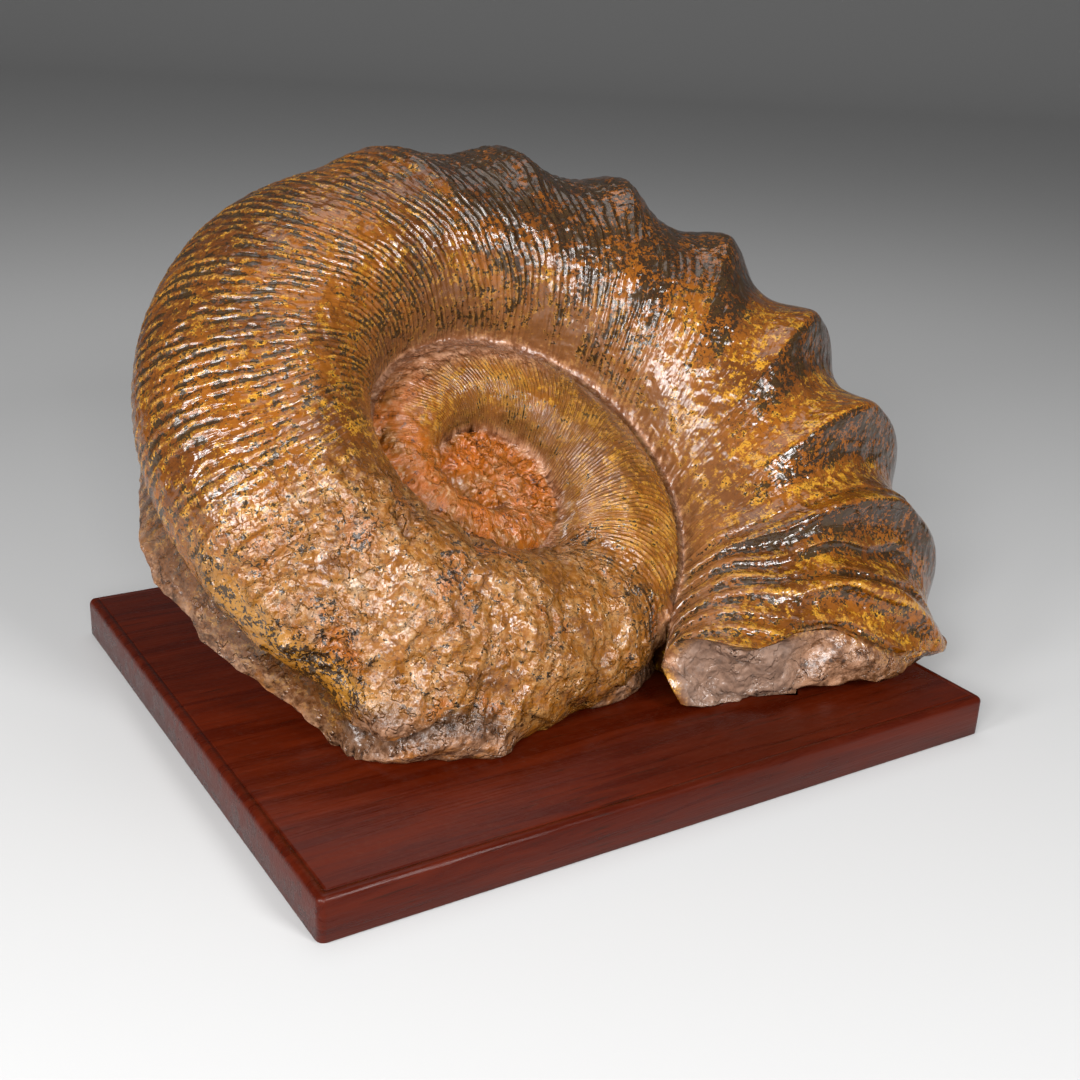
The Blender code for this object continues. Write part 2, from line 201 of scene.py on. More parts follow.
def new_tree(name, kind, inputs, outputs):
    """A node group with named float, vector or geometry sockets; returns it and its input wires."""
    tree = bpy.data.node_groups.new(name, kind)
    for socket, default in inputs.items():
        made = tree.interface.new_socket(socket, in_out="INPUT", socket_type=socket_kind(default))
        if isinstance(default, (float, tuple)):
            made.default_value = default
    for socket, default in outputs.items():
        tree.interface.new_socket(socket, in_out="OUTPUT", socket_type=socket_kind(default))
    start = tree.nodes.new("NodeGroupInput")
    return tree, {socket: Wire(tree, start.outputs[socket]) for socket in inputs}


def socket_kind(default):
    if isinstance(default, tuple):
        return "NodeSocketVector"
    kinds = {"geometry": "NodeSocketGeometry", "material": "NodeSocketMaterial"}
    return kinds.get(default, "NodeSocketFloat")


def finish_tree(tree, **results):
    end = tree.nodes.new("NodeGroupOutput")
    for name, wire in results.items():
        plug(tree, wire, end.inputs[name.replace("_", " ")])
    return tree


# %% [markdown]
# ## From a flat pattern to a coil
#
# On the real animal the shell is laid down at the mouth, so its whole surface can be unrolled: one
# way runs round the coil and the other runs over the section, from the keel across the flank to
# the seam with the whorl inside. A screw modifier would turn one fixed section, but here the
# section changes at the mouth. So each point of a flat pattern carries its angle and its place
# on the section, and Geometry Nodes works out where the rule puts it.

# %% The spiral's sizes
TURN = 2 * math.pi
LEAN_BACK = math.radians(50.9)
TURN_ASIDE = math.radians(8.3)
COIL_CENTRE = Vector((-0.0197, 0.0164, 0.1193))
LEVEL = Vector((math.cos(TURN_ASIDE), math.sin(TURN_ASIDE), 0))
AXIS = Vector((math.sin(TURN_ASIDE) * math.cos(LEAN_BACK),
               -math.cos(TURN_ASIDE) * math.cos(LEAN_BACK), math.sin(LEAN_BACK)))
RISING = AXIS.cross(LEVEL)
GAP_ANGLE = math.radians(-62.0)
SEAM_SLOPE = 0.589
FAR_SEAM_SLOPE = -0.42
SPIRAL = {
    "Mouth angle": math.radians(-55.4), "Mouth radius": 0.329, "Growth": 0.15,
    "Shoulder": 0.6254, "Half breadth": 0.3312, "Section power": 1.893,
    "Seam radius": 0.3845, "Seam height": 0.0695, "Seam slope": SEAM_SLOPE,
    "Far seam slope": FAR_SEAM_SLOPE, "Flatten from": math.radians(20.0),
    "Flatten to": math.radians(-65.0), "Flatness": 0.40, "Tightness": 0.03,
    "Gap angle": GAP_ANGLE, "Gap near": 0.10, "Gap deep": 0.60, "Gap rounding": 0.05,
}
SHRINK = math.exp(-SPIRAL["Growth"] * TURN)
print("each turn inwards is", round(SHRINK, 3), "of the one outside it")


# %% [markdown]
# The tree reads six named values from each point: its angle, its slope on the flank, how far down
# the wall of the umbilicus it is, and three that say where a whorl ends or stands free. All sizes
# are shares of the keel's radius at that angle, so one section serves every whorl.

# %% The spiral tree


def named(tree, name):
    return put(tree, "GeometryNodeInputNamedAttribute", {"data_type": "FLOAT"}, {"Name": name})


def keep(tree, geometry, name, wire):
    """Stores a number on every point under a name, for a later tree or a material."""
    return put(tree, "GeometryNodeStoreNamedAttribute", {"data_type": "FLOAT"},
               {"Geometry": geometry, "Name": name, "Value": wire})


def set_position(tree, geometry, **how):
    return put(tree, "GeometryNodeSetPosition", values={"Geometry": geometry, **how})


def end_geometry(tree, geometry, material):
    real = put(tree, "GeometryNodeRealizeInstances", values={"Geometry": geometry})
    done = put(tree, "GeometryNodeSetMaterial", values={"Geometry": real, "Material": material})
    return finish_tree(tree, Geometry=done)


def spiral_tree():
    tree, use = new_tree("spiral of the shell", "GeometryNodeTree",
                         {"Geometry": "geometry", **SPIRAL, "Material": "material"},
                         {"Geometry": "geometry"})
    angle, slope, wall = (named(tree, name) for name in ("angle", "slope", "wall"))
    along, level, inside = (named(tree, name) for name in ("along", "level", "inside"))
    side = slope.calc("SIGN")
    near = smooth(-0.5, 0.5, side)
    mouth = smooth(use["Flatten from"], use["Flatten to"], angle)
    size = (use["Mouth radius"] * (use["Growth"] * (use["Mouth angle"] - angle)).calc("EXPONENT")
            * (1.0 - use["Tightness"] * mouth))
    breadth = use["Half breadth"] * (1.0 - use["Flatness"] * mouth * (1.0 - inside))
    power = calc(tree, "DIVIDE", 2.0, use["Section power"])

    def flank(at):
        radius = lerp(use["Shoulder"], 1.0, at.calc("COSINE").calc("MAXIMUM", 0.0) ** power)
        height = breadth * at.calc("SINE").calc("ABSOLUTE") ** power * at.calc("SIGN")
        return radius, height

    radius, height = flank(slope)
    down = wall * (TURN / 4)
    near_radius = lerp(use["Shoulder"], use["Seam radius"], down.calc("SINE"))
    near_height = lerp(use["Seam height"], breadth, down.calc("COSINE"))
    far_radius = lerp(use["Shoulder"], use["Seam radius"], wall)
    far_height = -lerp(breadth, use["Seam height"], wall)
    on_wall = wall.calc("GREATER_THAN", 0.0)
    radius = lerp(radius, lerp(far_radius, near_radius, near), on_wall)
    height = lerp(height, lerp(far_height, near_height, near), on_wall)
    start = lerp(use["Far seam slope"], use["Seam slope"], near)
    start_radius, start_height = flank(start)
    radius = lerp(radius, lerp(start_radius, use["Seam radius"], along), level)
    height = lerp(height, lerp(start_height, use["Seam height"] * side, along), level)

    past = (use["Gap angle"] - angle).calc("MAXIMUM", 0.0)
    past = past + use["Gap rounding"] * smooth(0.0, use["Gap rounding"], past)
    deep = 1.0 - slope.calc("MAXIMUM", 0.0) / use["Seam slope"]
    open_inside = past * lerp(use["Gap near"], use["Gap deep"], deep)
    open_wall = past * wall ** 3.0 * lerp(use["Gap deep"], use["Gap near"], near)
    shrink = lerp(1.0, SHRINK, inside)
    radius = (radius * shrink + lerp(open_wall, open_inside, inside)) * size
    height = height * shrink * size
    over, up = radius * angle.calc("COSINE"), radius * angle.calc("SINE")
    spot = [over * LEVEL[i] + up * RISING[i] + height * AXIS[i] + COIL_CENTRE[i]
            for i in range(3)]
    place = put(tree, "ShaderNodeCombineXYZ", values=dict(enumerate(spot)))
    moved = set_position(tree, use["Geometry"], Position=place)
    return end_geometry(tree, keep(tree, moved, "size", size), use["Material"])


def mesh_with(name, points, faces, values):
    """A linked object from points and faces, with a named number on every point."""
    mesh = bpy.data.meshes.new(name)
    mesh.from_pydata(points, [], faces)
    for key, numbers in values.items():
        mesh.attributes.new(key, "FLOAT", "POINT").data.foreach_set("value", numbers)
    made = bpy.data.objects.new(name, mesh)
    bpy.context.scene.collection.objects.link(made)
    return made


def grow(source, tree, **inputs):
    """Runs a tree on an object and returns the result as a plain mesh; the source is removed."""
    step = source.modifiers.new(tree.name, "NODES")
    step.node_group = tree
    for item in tree.interface.items_tree:
        if item.in_out == "INPUT" and item.name in inputs:
            step[item.identifier] = inputs[item.name]
    graph = bpy.context.evaluated_depsgraph_get()
    mesh = bpy.data.meshes.new_from_object(source.evaluated_get(graph))
    bpy.data.objects.remove(source, do_unlink=True)
    return mesh


def coordinates(mesh):
    flat = np.empty(len(mesh.vertices) * 3)
    mesh.vertices.foreach_get("co", flat)
    return flat.reshape(-1, 3)


roll_up = spiral_tree()
print("the spiral tree has", len(roll_up.nodes), "nodes")

# %% [markdown]
# ## Where the broken end stops
#
# The last part of the living chamber has snapped off along a rough plane. A Boolean would cut the
# inner whorls too, so each row of the pattern is stopped where it meets the plane instead.
# The tree is run once on bare points, one line of them for each row, and the crossing is read off.
# On the near side the shell's edge is ragged, so those rows stop where a short list says.

# %% Rows of the section, and their angles at the break
NEAR_SLOPES = [*np.linspace(0, SEAM_SLOPE, 10), *np.linspace(SEAM_SLOPE, TURN / 4, 23)[1:]]
WALL_STEPS = 16
FAR_SLOPES = [*np.linspace(0, FAR_SEAM_SLOPE, 9), *np.linspace(FAR_SEAM_SLOPE, -TURN / 4, 9)[1:]]
FAR_WALL_STEPS = 4
SEAM_ROW, FAR_SEAM_ROW = 9, -8
TOP_ROW, FAR_TOP_ROW = len(NEAR_SLOPES) - 1, 1 - len(FAR_SLOPES)
SEAM, FAR_SEAM = TOP_ROW + WALL_STEPS, FAR_TOP_ROW - FAR_WALL_STEPS
BREAK_POINT = np.array((0.1036, -0.1288, 0.0413))
BREAK_NORMAL = np.array(Vector((-0.17, -0.89, -0.41)).normalized())
BREAK_LATEST = math.radians(-27.0)
PROBE_FROM, PROBE_TO, PROBE_STEP = 10.0, -127.0, -0.5
# The shell's ragged edge: how far down the near side, by slope and wall, and the angle in degrees.
SHELL_EDGE = ((0.0, -36), (0.3, -38.5), (0.6, -41.5), (0.9, -46.5), (1.1, -51), (1.2, -52),
              (1.4, -53.5), (1.55, -54.5), (1.67, -57.5), (1.77, -61.8), (1.82, -65.5),
              (1.89, -70), (2.0, -72.4), (2.37, -76.0), (2.57, -77.0))
FAR_EDGE_FALL, INSIDE_LATEST = 20.0, -78.0
KEEL_SLOPE = 1e-6  # counts as near, because 0 has no sign
FREE_END_LEAST = math.radians(6.0)
SHEAR_SPAN = math.radians(57.0)


def row_values(row):
    """The slope and the share of the wall at a row; far rows count downwards from 0."""
    if row >= 0:
        return NEAR_SLOPES[min(row, TOP_ROW)], max(row - TOP_ROW, 0) / WALL_STEPS
    return FAR_SLOPES[min(-row, -FAR_TOP_ROW)], max(FAR_TOP_ROW - row, 0) / FAR_WALL_STEPS


def break_angles():
    """The angle where each row stops at the break, for shell rows and inside rows."""
    found = {}
    for row in range(SEAM + 1):
        edge = np.interp(sum(row_values(row)), *zip(*SHELL_EDGE))
        found[row, False] = math.radians(edge)
    steps = np.radians(np.arange(PROBE_FROM, PROBE_TO, PROBE_STEP))
    rows = [(row, 0.0) for row in range(FAR_SEAM, 0)]
    rows += [(row, 1.0) for row in range(FAR_SEAM_ROW, SEAM_ROW + 1)]
    values = {key: [] for key in ("angle", "slope", "wall", "along", "level", "inside")}
    for row, inside in rows:
        slope, wall = row_values(row)
        for key, number in zip(values, (None, slope or KEEL_SLOPE, wall, 0.0, 0.0, inside)):
            values[key] += list(steps) if key == "angle" else [number] * len(steps)
    total = len(rows) * len(steps)
    mesh = grow(mesh_with("probe", [(0, 0, 0)] * total, [], values), roll_up)
    depth = (coordinates(mesh) - BREAK_POINT) @ BREAK_NORMAL
    for (row, inside), line in zip(rows, depth.reshape(len(rows), -1)):
        after = int(np.argmax(line >= 0))
        share = line[after - 1] / (line[after - 1] - line[after])
        crossing = min(steps[after - 1] + (steps[after] - steps[after - 1]) * share, BREAK_LATEST)
        far_least = SHELL_EDGE[0][1] + FAR_EDGE_FALL * row_values(row)[0]
        least = math.radians(INSIDE_LATEST if inside else far_least)
        found[row, inside > 0] = max(crossing, least)
    return found


ends = break_angles()
print("the keel ends at", round(math.degrees(ends[0, False])), "degrees and the seam at",
      round(math.degrees(ends[SEAM, False])))
print("inside rows end at", [round(math.degrees(ends[row, True])) for row in
                             range(FAR_SEAM_ROW, SEAM_ROW + 1)])
print("far rows end at", [round(math.degrees(ends[row, False])) for row in range(FAR_SEAM, 1)])

# %% [markdown]
# ## The pattern
#
# The near side of the shell is one strip from the break to the innermost whorl, and the far side is
# a strip for the last whorl alone, because the rest is filled with stone. Where one whorl sits on
# another, both strips use the same points, so the coil is a single closed skin with no edge inside.
# Columns are close together where there are ribs to raise, and further apart on the smooth part.

# %% The pattern's points and faces
COLUMN_BANDS = ((-22.0, 0.32), (36.0, 0.36), (190.0, 0.32), (298.0, 0.5))
BEND_ON_FLANK, BEND_ON_WALL = math.radians(5), math.radians(21)
BEND_FROM = 0.9
FOLLOW_SPAN = math.radians(50)
INNER_TURNS = 1.22
INNER_STEP = 2
HORN_COLUMNS = 60
LEVEL_NEAR_TURNS = 0.2
LEVEL_FAR = math.radians(32.7)


def column_angles():
    """The angles of one turn's columns, from the gap; an even number of them."""
    angles, start = [], math.degrees(GAP_ANGLE)
    for end, step in COLUMN_BANDS:
        count = 2 * round((end - start) / step / 2)
        angles += list(np.radians(np.linspace(start, end, count, endpoint=False)))
        start = end
    return angles


def bend(row):
    """How far a growth line has swept towards the mouth by the time it reaches a row."""
    slope, wall = row_values(row)
    flank = min(max((slope - BEND_FROM) / (TURN / 4 - BEND_FROM), 0.0), 1.0)
    return BEND_ON_FLANK * flank ** 2 + BEND_ON_WALL * wall * (row > 0)


def step_up(low, high, value):
    share = min(max((value - low) / (high - low), 0.0), 1.0)
    return share * share * (3 - 2 * share)


class Pattern:
    """The unrolled shell. A point's address is its column, its row and whether it is inside."""

    def __init__(self):
        self.angles = column_angles()
        self.turn = len(self.angles)
        self.last = self.turn + 2 * round(self.turn * INNER_TURNS / 2)
        self.index, self.faces = {}, []
        self.values = {key: [] for key in ("angle", "slope", "wall", "along", "level", "inside")}

    def angle(self, column):
        """A column's angle at its outermost row; an inner whorl starts where the outer ended."""
        if column < self.turn:
            return self.angles[column]
        outer = column - self.turn
        return self.angle(outer) + TURN - self.follow(outer) * bend(SEAM)

    def follow(self, column):
        """How closely a column follows the bent growth lines; not at all at the gap."""
        if column < 0:
            return 0.0
        if column >= self.turn // 2:
            return 1.0
        return step_up(GAP_ANGLE, GAP_ANGLE + FOLLOW_SPAN, self.angles[column])

    def shared(self, column, row, inside):
        """The address that a point goes by where two strips meet."""
        if inside and column == 0:
            column, inside = self.turn, False
        if inside and row in (SEAM_ROW, FAR_SEAM_ROW):
            row, inside = (SEAM if row > 0 else FAR_SEAM), False
        if not inside and row == SEAM_ROW and column >= self.turn:
            column, row = column - self.turn, SEAM
        if not inside and row == FAR_SEAM_ROW and column == self.turn:
            column, row = 0, FAR_SEAM
        return column, row, inside

    def sheared(self, column, row, inside):
        """The angle of a point, slid along its row so that the free end stops at the break."""
        end = ends[row, inside]
        fixed = inside or row in (SEAM, FAR_SEAM)
        shear = 0.0 if fixed else max(end + FREE_END_LEAST - GAP_ANGLE, 0.0)
        if column < 0:
            start = GAP_ANGLE + shear
            stop = min(end, start - FREE_END_LEAST)
            return start + (stop - start) * column / -HORN_COLUMNS
        angle = self.angle(column)
        return angle + shear * max(1 - (angle - GAP_ANGLE) / SHEAR_SPAN, 0.0)

    def point(self, column, row, inside=False):
        address = self.shared(column, row, inside)
        if address not in self.index:
            self.index[address] = len(self.index)
            column, row, inside = address
            slope, wall = row_values(row)
            angle = self.angle(column) if column > self.turn // 2 \
                else self.sheared(column, row, inside)
            if not inside:
                angle -= self.follow(column) * bend(row)
            along = level = 0.0
            if row > SEAM_ROW:
                along = (row - SEAM_ROW) / (SEAM - SEAM_ROW)
                level = step_up(self.last - LEVEL_NEAR_TURNS * self.turn, self.last, column)
            if row < FAR_SEAM_ROW:
                along = (row - FAR_SEAM_ROW) / (FAR_SEAM - FAR_SEAM_ROW)
                level = step_up(GAP_ANGLE + TURN - LEVEL_FAR, GAP_ANGLE + TURN, angle)
            numbers = (angle, slope or KEEL_SLOPE, wall, along, level, float(inside))
            for key, number in zip(self.values, numbers):
                self.values[key].append(number)
        return self.index[address]

    def near_strip(self, first, last, low, high, step=1, inside=False):
        """Quads from row low to row high; where rows are skipped, the first column keeps them."""
        for column in range(first, last):
            for row in range(low, high, step):
                face = [self.point(column, row, inside), self.point(column + 1, row, inside),
                        self.point(column + 1, row + step, inside)]
                whole = step if column > first else 1
                face += [self.point(column, row + up, inside) for up in range(step, 0, -whole)]
                self.faces.append(face)

    def far_strip(self, first, last, low, inside=False):
        """As the near strip, downwards from the keel, with every second column."""
        for column in range(first, last, 2):
            for row in range(0, low, -1):
                top = (2, 1, 0) if row == 0 else (2, 0)
                face = [self.point(column + one, row, inside) for one in top]
                face += [self.point(column + one, row - 1, inside) for one in (0, 2)]
                self.faces.append(face)

    def rims(self):
        """The three loops that are still open: the break, the innermost whorl and the far side."""
        end = -HORN_COLUMNS
        rim = [self.point(end, row) for row in range(FAR_SEAM, SEAM + 1)]
        rim += [self.point(end, row, True) for row in range(SEAM_ROW - 1, FAR_SEAM_ROW, -1)]
        heart = [self.point(self.last, row) for row in range(SEAM_ROW, SEAM + 1, INNER_STEP)]
        heart += [self.point(column, SEAM)
                  for column in range(self.last - 1, self.last - self.turn, -1)]
        back = [self.point(column, FAR_SEAM) for column in range(0, self.turn + 1, 2)]
        back += [self.point(self.turn, row) for row in range(FAR_SEAM + 1, FAR_SEAM_ROW)]
        return rim, heart, back


def cut_pattern():
    pattern = Pattern()
    pattern.near_strip(-HORN_COLUMNS, pattern.turn, 0, SEAM)
    pattern.near_strip(pattern.turn, pattern.last, SEAM_ROW, SEAM, INNER_STEP)
    pattern.far_strip(-HORN_COLUMNS, pattern.turn, FAR_SEAM)
    pattern.near_strip(-HORN_COLUMNS, 0, 0, SEAM_ROW, inside=True)
    pattern.far_strip(-HORN_COLUMNS, 0, FAR_SEAM_ROW, inside=True)
    return pattern


pattern = cut_pattern()
flat_points = list(zip(*(pattern.values[key] for key in ("angle", "slope", "wall"))))
rims = pattern.rims()
coil = grow(mesh_with("pattern", flat_points, pattern.faces, pattern.values), roll_up)
print(pattern.turn, "columns a turn,", len(coil.vertices), "points on the coil")

# %% [markdown]
# ## Closing the ends
#
# The break, the heart of the coil and the hollow of the far side are still open loops. A fan of
# triangles would close them, but long thin triangles can't take any relief, so each loop is stepped
# inwards in rings, with fewer points as the rings get smaller.

# %% Rings inside the open loops
BREAK_HUB_ANGLE, BREAK_HUB_RADIUS, BREAK_HUB_HEIGHT = math.radians(-66.0), 0.60, 0.02
HEART_HEIGHT, BACK_HEIGHT = 0.10, -0.12


def coil_point(angle, size, radius, height):
    outward = LEVEL * math.cos(angle) + RISING * math.sin(angle)
    return COIL_CENTRE + outward * (size * radius) + AXIS * (size * height)


def keel_size(angle):
    return SPIRAL["Mouth radius"] * math.exp(SPIRAL["Growth"] * (SPIRAL["Mouth angle"] - angle))


class Skin:
    """A mesh's points, faces and named numbers as plain lists, to be added to."""

    def __init__(self, mesh):
        self.points = coordinates(mesh).tolist()
        self.faces = [list(face.vertices) for face in mesh.polygons]
        self.values = {}
        for key in ("angle", "slope", "wall", "size", "inside"):
            numbers = np.empty(len(mesh.vertices), dtype=np.float32)
            mesh.attributes[key].data.foreach_get("value", numbers)
            self.values[key] = numbers.tolist()
        for key in ("broken", "heart", "back"):
            self.values[key] = [0.0] * len(self.points)

    def add(self, point, like, mark, amount):
        self.points.append(list(point))
        for key, numbers in self.values.items():
            numbers.append(numbers[like])
        self.values[mark][-1] = amount
        return len(self.points) - 1

    def close(self, loop, hub, shares, thin, mark):
        """Steps a loop in to its hub; thin says how many points of a loop become one."""
        hub = Vector(hub)
        outer, before = loop, 0.0
        for ring, share in enumerate(shares):
            keep_every = thin.get(ring, 1)
            part = (share - before) / (1 - before)
            inner = [self.add(Vector(self.points[outer[index]]).lerp(hub, part), outer[index],
                              mark, min(share * 8, 1.0))
                     for index in range(0, len(outer), keep_every)]
            for index, point in enumerate(inner):
                after = inner[(index + 1) % len(inner)]
                edge = [outer[(index * keep_every + step) % len(outer)]
                        for step in range(keep_every + 1)
                        if index * keep_every + step <= len(outer)]
                self.faces.append([*edge, after, point])
            outer, before = inner, share
        middle = self.add(hub, outer[0], mark, 1.0)
        for index, point in enumerate(outer):
            self.faces.append([point, outer[(index + 1) % len(outer)], middle])


skin = Skin(coil)
break_hub = coil_point(BREAK_HUB_ANGLE, keel_size(BREAK_HUB_ANGLE), BREAK_HUB_RADIUS,
                       BREAK_HUB_HEIGHT)
off_plane = float((np.array(break_hub) - BREAK_POINT) @ BREAK_NORMAL)
skin.close(rims[0], break_hub - Vector(BREAK_NORMAL) * off_plane,
           (0.02, 0.06, *np.linspace(0.12, 0.94, 14)), {}, "broken")
last_angle = pattern.angle(pattern.last)
skin.close(rims[1], coil_point(last_angle, keel_size(last_angle), 0, HEART_HEIGHT),
           np.linspace(0.05, 0.95, 19), {0: 2, 5: 2, 10: 2, 14: 2}, "heart")
skin.close(rims[2], coil_point(GAP_ANGLE, keel_size(GAP_ANGLE), 0, BACK_HEIGHT),
           np.linspace(0.04, 0.96, 24), {6: 2, 14: 2, 19: 2}, "back")
print(len(skin.points), "points once the ends are closed")

# %% [markdown]
# ## The relief
#
# Four things stand out from the plain coil. Coarse folds cross the last half whorl and widen away
# from the mouth. Fine ribs cover the older part and the whorl inside. The lowest part is worn and
# chipped, and below it the fossil is still wrapped in lumpy stone. Sculpting could make them,
# but each one follows the shell's own angle, so a second tree raises them all from that, and
# writes down where they are for the materials. The heights of folds, ribs, lips, hollows, ledges
# and the skirt are shares of the keel's radius, and the other heights are metres.

# %% The relief's sizes
DEGREE = math.pi / 180
RELIEF = {
    "Bend on flank": BEND_ON_FLANK, "Bend on wall": BEND_ON_WALL, "Bend from": BEND_FROM,
    "Fold first": -42.3 * DEGREE, "Fold spacing": 13.9 * DEGREE, "Fold widening": 0.62 * DEGREE,
    "Fold count": 8.0, "Fold height": 0.056, "Fold datum": 0.32, "Ridge share": 0.50,
    "Rib height": 0.0052, "Ribs per turn": 160.0,
    "Lip height": 0.010, "Lip spacing": 5.0 * DEGREE,
    "Wear height": 0.040, "Flake height": 0.0252, "Chip height": 0.0017,
    "Stone edge": 0.42, "Stone proud": 0.085, "Stone lumps": 0.009, "Break lumps": 0.024,
    "Skirt": 0.110, "Crevice": 0.0045, "Rim lift": 0.006,
    "Seam fillet": 0.0034, "Heart lumps": 0.0090, "Band rise": 0.0016,
}
# Stretches of the coil, in degrees: the start, how far it comes in over, the end and its fade.
STRETCHES = {
    "young ribs": (10, 40, 196, 36), "old ribs": (272, 16, 500, 50), "worn": (168, 30, 298, 16),
    # The stretch over the top adds painted shade to the shell's black mottle.
    "dip": (216, 18, 254, 14), "inner band": (385, 30, 540, 50), "top mottle and shade": (0, 25, 96, 30),
    # The pale stretch on the worn part marks a painted sheen that stands in for glints.
    "gold edge": (172, 20, 236, 20), "painted_sheen": (160, 20, 232, 24),
}


def on_stretch(name, angle):
    """1 on a named stretch of the coil, fading to 0 at both ends."""
    return between(*(number * DEGREE for number in STRETCHES[name]), angle)


# %% [markdown]
# Rough stone is the same wherever it shows, so its lumps are a small group of their own: large soft
# lumps, sharp-edged chips from a Voronoi pattern, and a fine crust. Flakes are a second group. They
# are a soft noise cut into terraces, because a worn shell comes off in thin layers.

# %% Lumps and flakes


def scaled_place(tree, size):
    place = put(tree, "GeometryNodeInputPosition")
    sizes = put(tree, "ShaderNodeCombineXYZ", values={0: size, 1: size, 2: size})
    return vector_calc(tree, "DIVIDE", place, sizes)


def stone_tree():
    tree, use = new_tree("lumps of stone", "GeometryNodeTree", {"Size": 0.045}, {"Height": 0.0})
    scaled = scaled_place(tree, use["Size"])
    large = grain(tree, 1.0, 2.0, vector=scaled)
    chips = put(tree, "ShaderNodeTexVoronoi", {"feature": "F1"},
                {"Vector": scaled, "Scale": 2.6, "Randomness": 1.0})
    fine = grain(tree, 0.16, 4.0, 0.6, vector=scaled)
    return finish_tree(tree, Height=large * 1.6 + (chips - 0.45) * 0.55 + fine * 0.35)


def flake_tree():
    tree, use = new_tree("flakes", "GeometryNodeTree", {"Size": 0.03, "Layers": 7.0},
                         {"Height": 0.0})
    scaled = scaled_place(tree, use["Size"])
    soft = grain(tree, 1.0, 3.0, 0.55, vector=scaled, distortion=0.5) * use["Layers"]
    step = soft.calc("FRACT")
    return finish_tree(tree, Height=(soft - step + smooth(0.62, 0.95, step)) / use["Layers"])


stone_lumps, flakes = stone_tree(), flake_tree()


def use_group(tree, group, output=0, **values):
    return put(tree, "GeometryNodeGroup" if tree.bl_idname == "GeometryNodeTree"
               else "ShaderNodeGroup", {"node_tree": group},
               {name.replace("_", " "): value for name, value in values.items()}, output)


# %% [markdown]
# Every growth mark was once the edge of the mouth. That edge was straight over the keel and swept
# forward towards the coil's middle, so folds, ribs and lips all follow one bent angle.

# %% Where a point is


def bent_angle(use, angle, slope, wall):
    flank = clamp01((slope - use["Bend from"]) / (TURN / 4 - use["Bend from"])) ** 2.0
    return angle + use["Bend on flank"] * flank + use["Bend on wall"] * wall


def coil_marks(tree, use):
    """A point's place on the coil, and what it belongs to."""
    at = SimpleNamespace(**{key: named(tree, key) for key in
                            ("angle", "slope", "wall", "size", "broken", "heart", "back")})
    at.shell = (1.0 - at.broken) * (1.0 - at.heart) * (1.0 - at.back) \
        * (1.0 - named(tree, "inside"))
    at.older = smooth(280 * DEGREE, 300 * DEGREE, at.angle)
    at.near = smooth(-0.2, 0.2, at.slope)
    at.bent = bent_angle(use, at.angle, at.slope, at.wall * at.near)
    return at


# %% Folds, ribs and lips


def fold_relief(use, at):
    """The folds' phase, counted from the mouth, and their height."""
    past_first = at.bent - use["Fold first"]
    root = (use["Fold spacing"] ** 2.0
            + use["Fold widening"] * 4.0 * past_first.calc("MAXIMUM", 0.0)).calc("SQRT")
    phase = ((root - use["Fold spacing"]) / (use["Fold widening"] * 2.0)
             + past_first.calc("MINIMUM", 0.0) / use["Fold spacing"])
    folded = phase.calc("GREATER_THAN", -0.5) * phase.calc("LESS_THAN", use["Fold count"] - 0.5)
    crest = (((phase * TURN).calc("COSINE") + 1.0) * 0.5) ** 1.25 * folded
    oldest = use["Fold count"] + 0.4
    strength = (lerp(0.25, 1.0, smooth(oldest, oldest - 4.4, phase))
                * lerp(0.35, 1.0, smooth(-0.5, 2.0, phase)))
    inwards = at.slope.calc("ABSOLUTE") + at.wall * 1.2
    reach = smooth(lerp(2.5, 1.75, smooth(1.0, 5.0, phase)), 0.85, inwards)
    ridge = crest ** 5.0 * smooth(0.9, 1.35, at.slope) * use["Ridge share"]
    height = (crest * strength + ridge
              - use["Fold datum"] * smooth(oldest, oldest - 1.0, phase)) * reach
    return phase, height * use["Fold height"]


def rib_relief(tree, use, at):
    """The ribs' phase, where they are and their height."""
    wobble = grain(tree, 0.035, 2.0) * 1.8 + grain(tree, 0.009, 2.0) * 1.1
    phase = at.bent * (use["Ribs per turn"] / TURN) + wobble
    here = on_stretch("young ribs", at.bent) + on_stretch("old ribs", at.angle)
    patches = smooth(-0.10, 0.06, grain(tree, 0.018, 4.0, 0.65))
    here = here * lerp(0.22, 1.0, patches) * at.shell * smooth(1.0, 0.86, at.wall)
    rib = ((phase * TURN).calc("COSINE") + 1.0) * 0.5
    height = (rib ** 1.6 - 0.35) * here * use["Rib height"] * lerp(0.8, 1.7, at.older)
    return phase, here, height


def lip_relief(tree, use, at):
    """The same for the overlapping lips by the mouth."""
    here = smooth(-18 * DEGREE, -30 * DEGREE, at.bent) * at.shell * at.near \
        * smooth(0.5, 1.0, at.slope) * lerp(0.6, 1.0, smooth(-0.10, 0.10, grain(tree, 0.05, 2.0)))
    phase = at.bent / use["Lip spacing"] + grain(tree, 0.06, 2.0) * 1.5 - 0.32
    lip = phase.calc("FRACT")
    height = (smooth(0.72, 0.0, lip) + smooth(0.80, 1.0, lip) - 0.4) * here \
        * use["Lip height"] * lerp(1.0, 0.5, at.wall)
    return phase, here, height
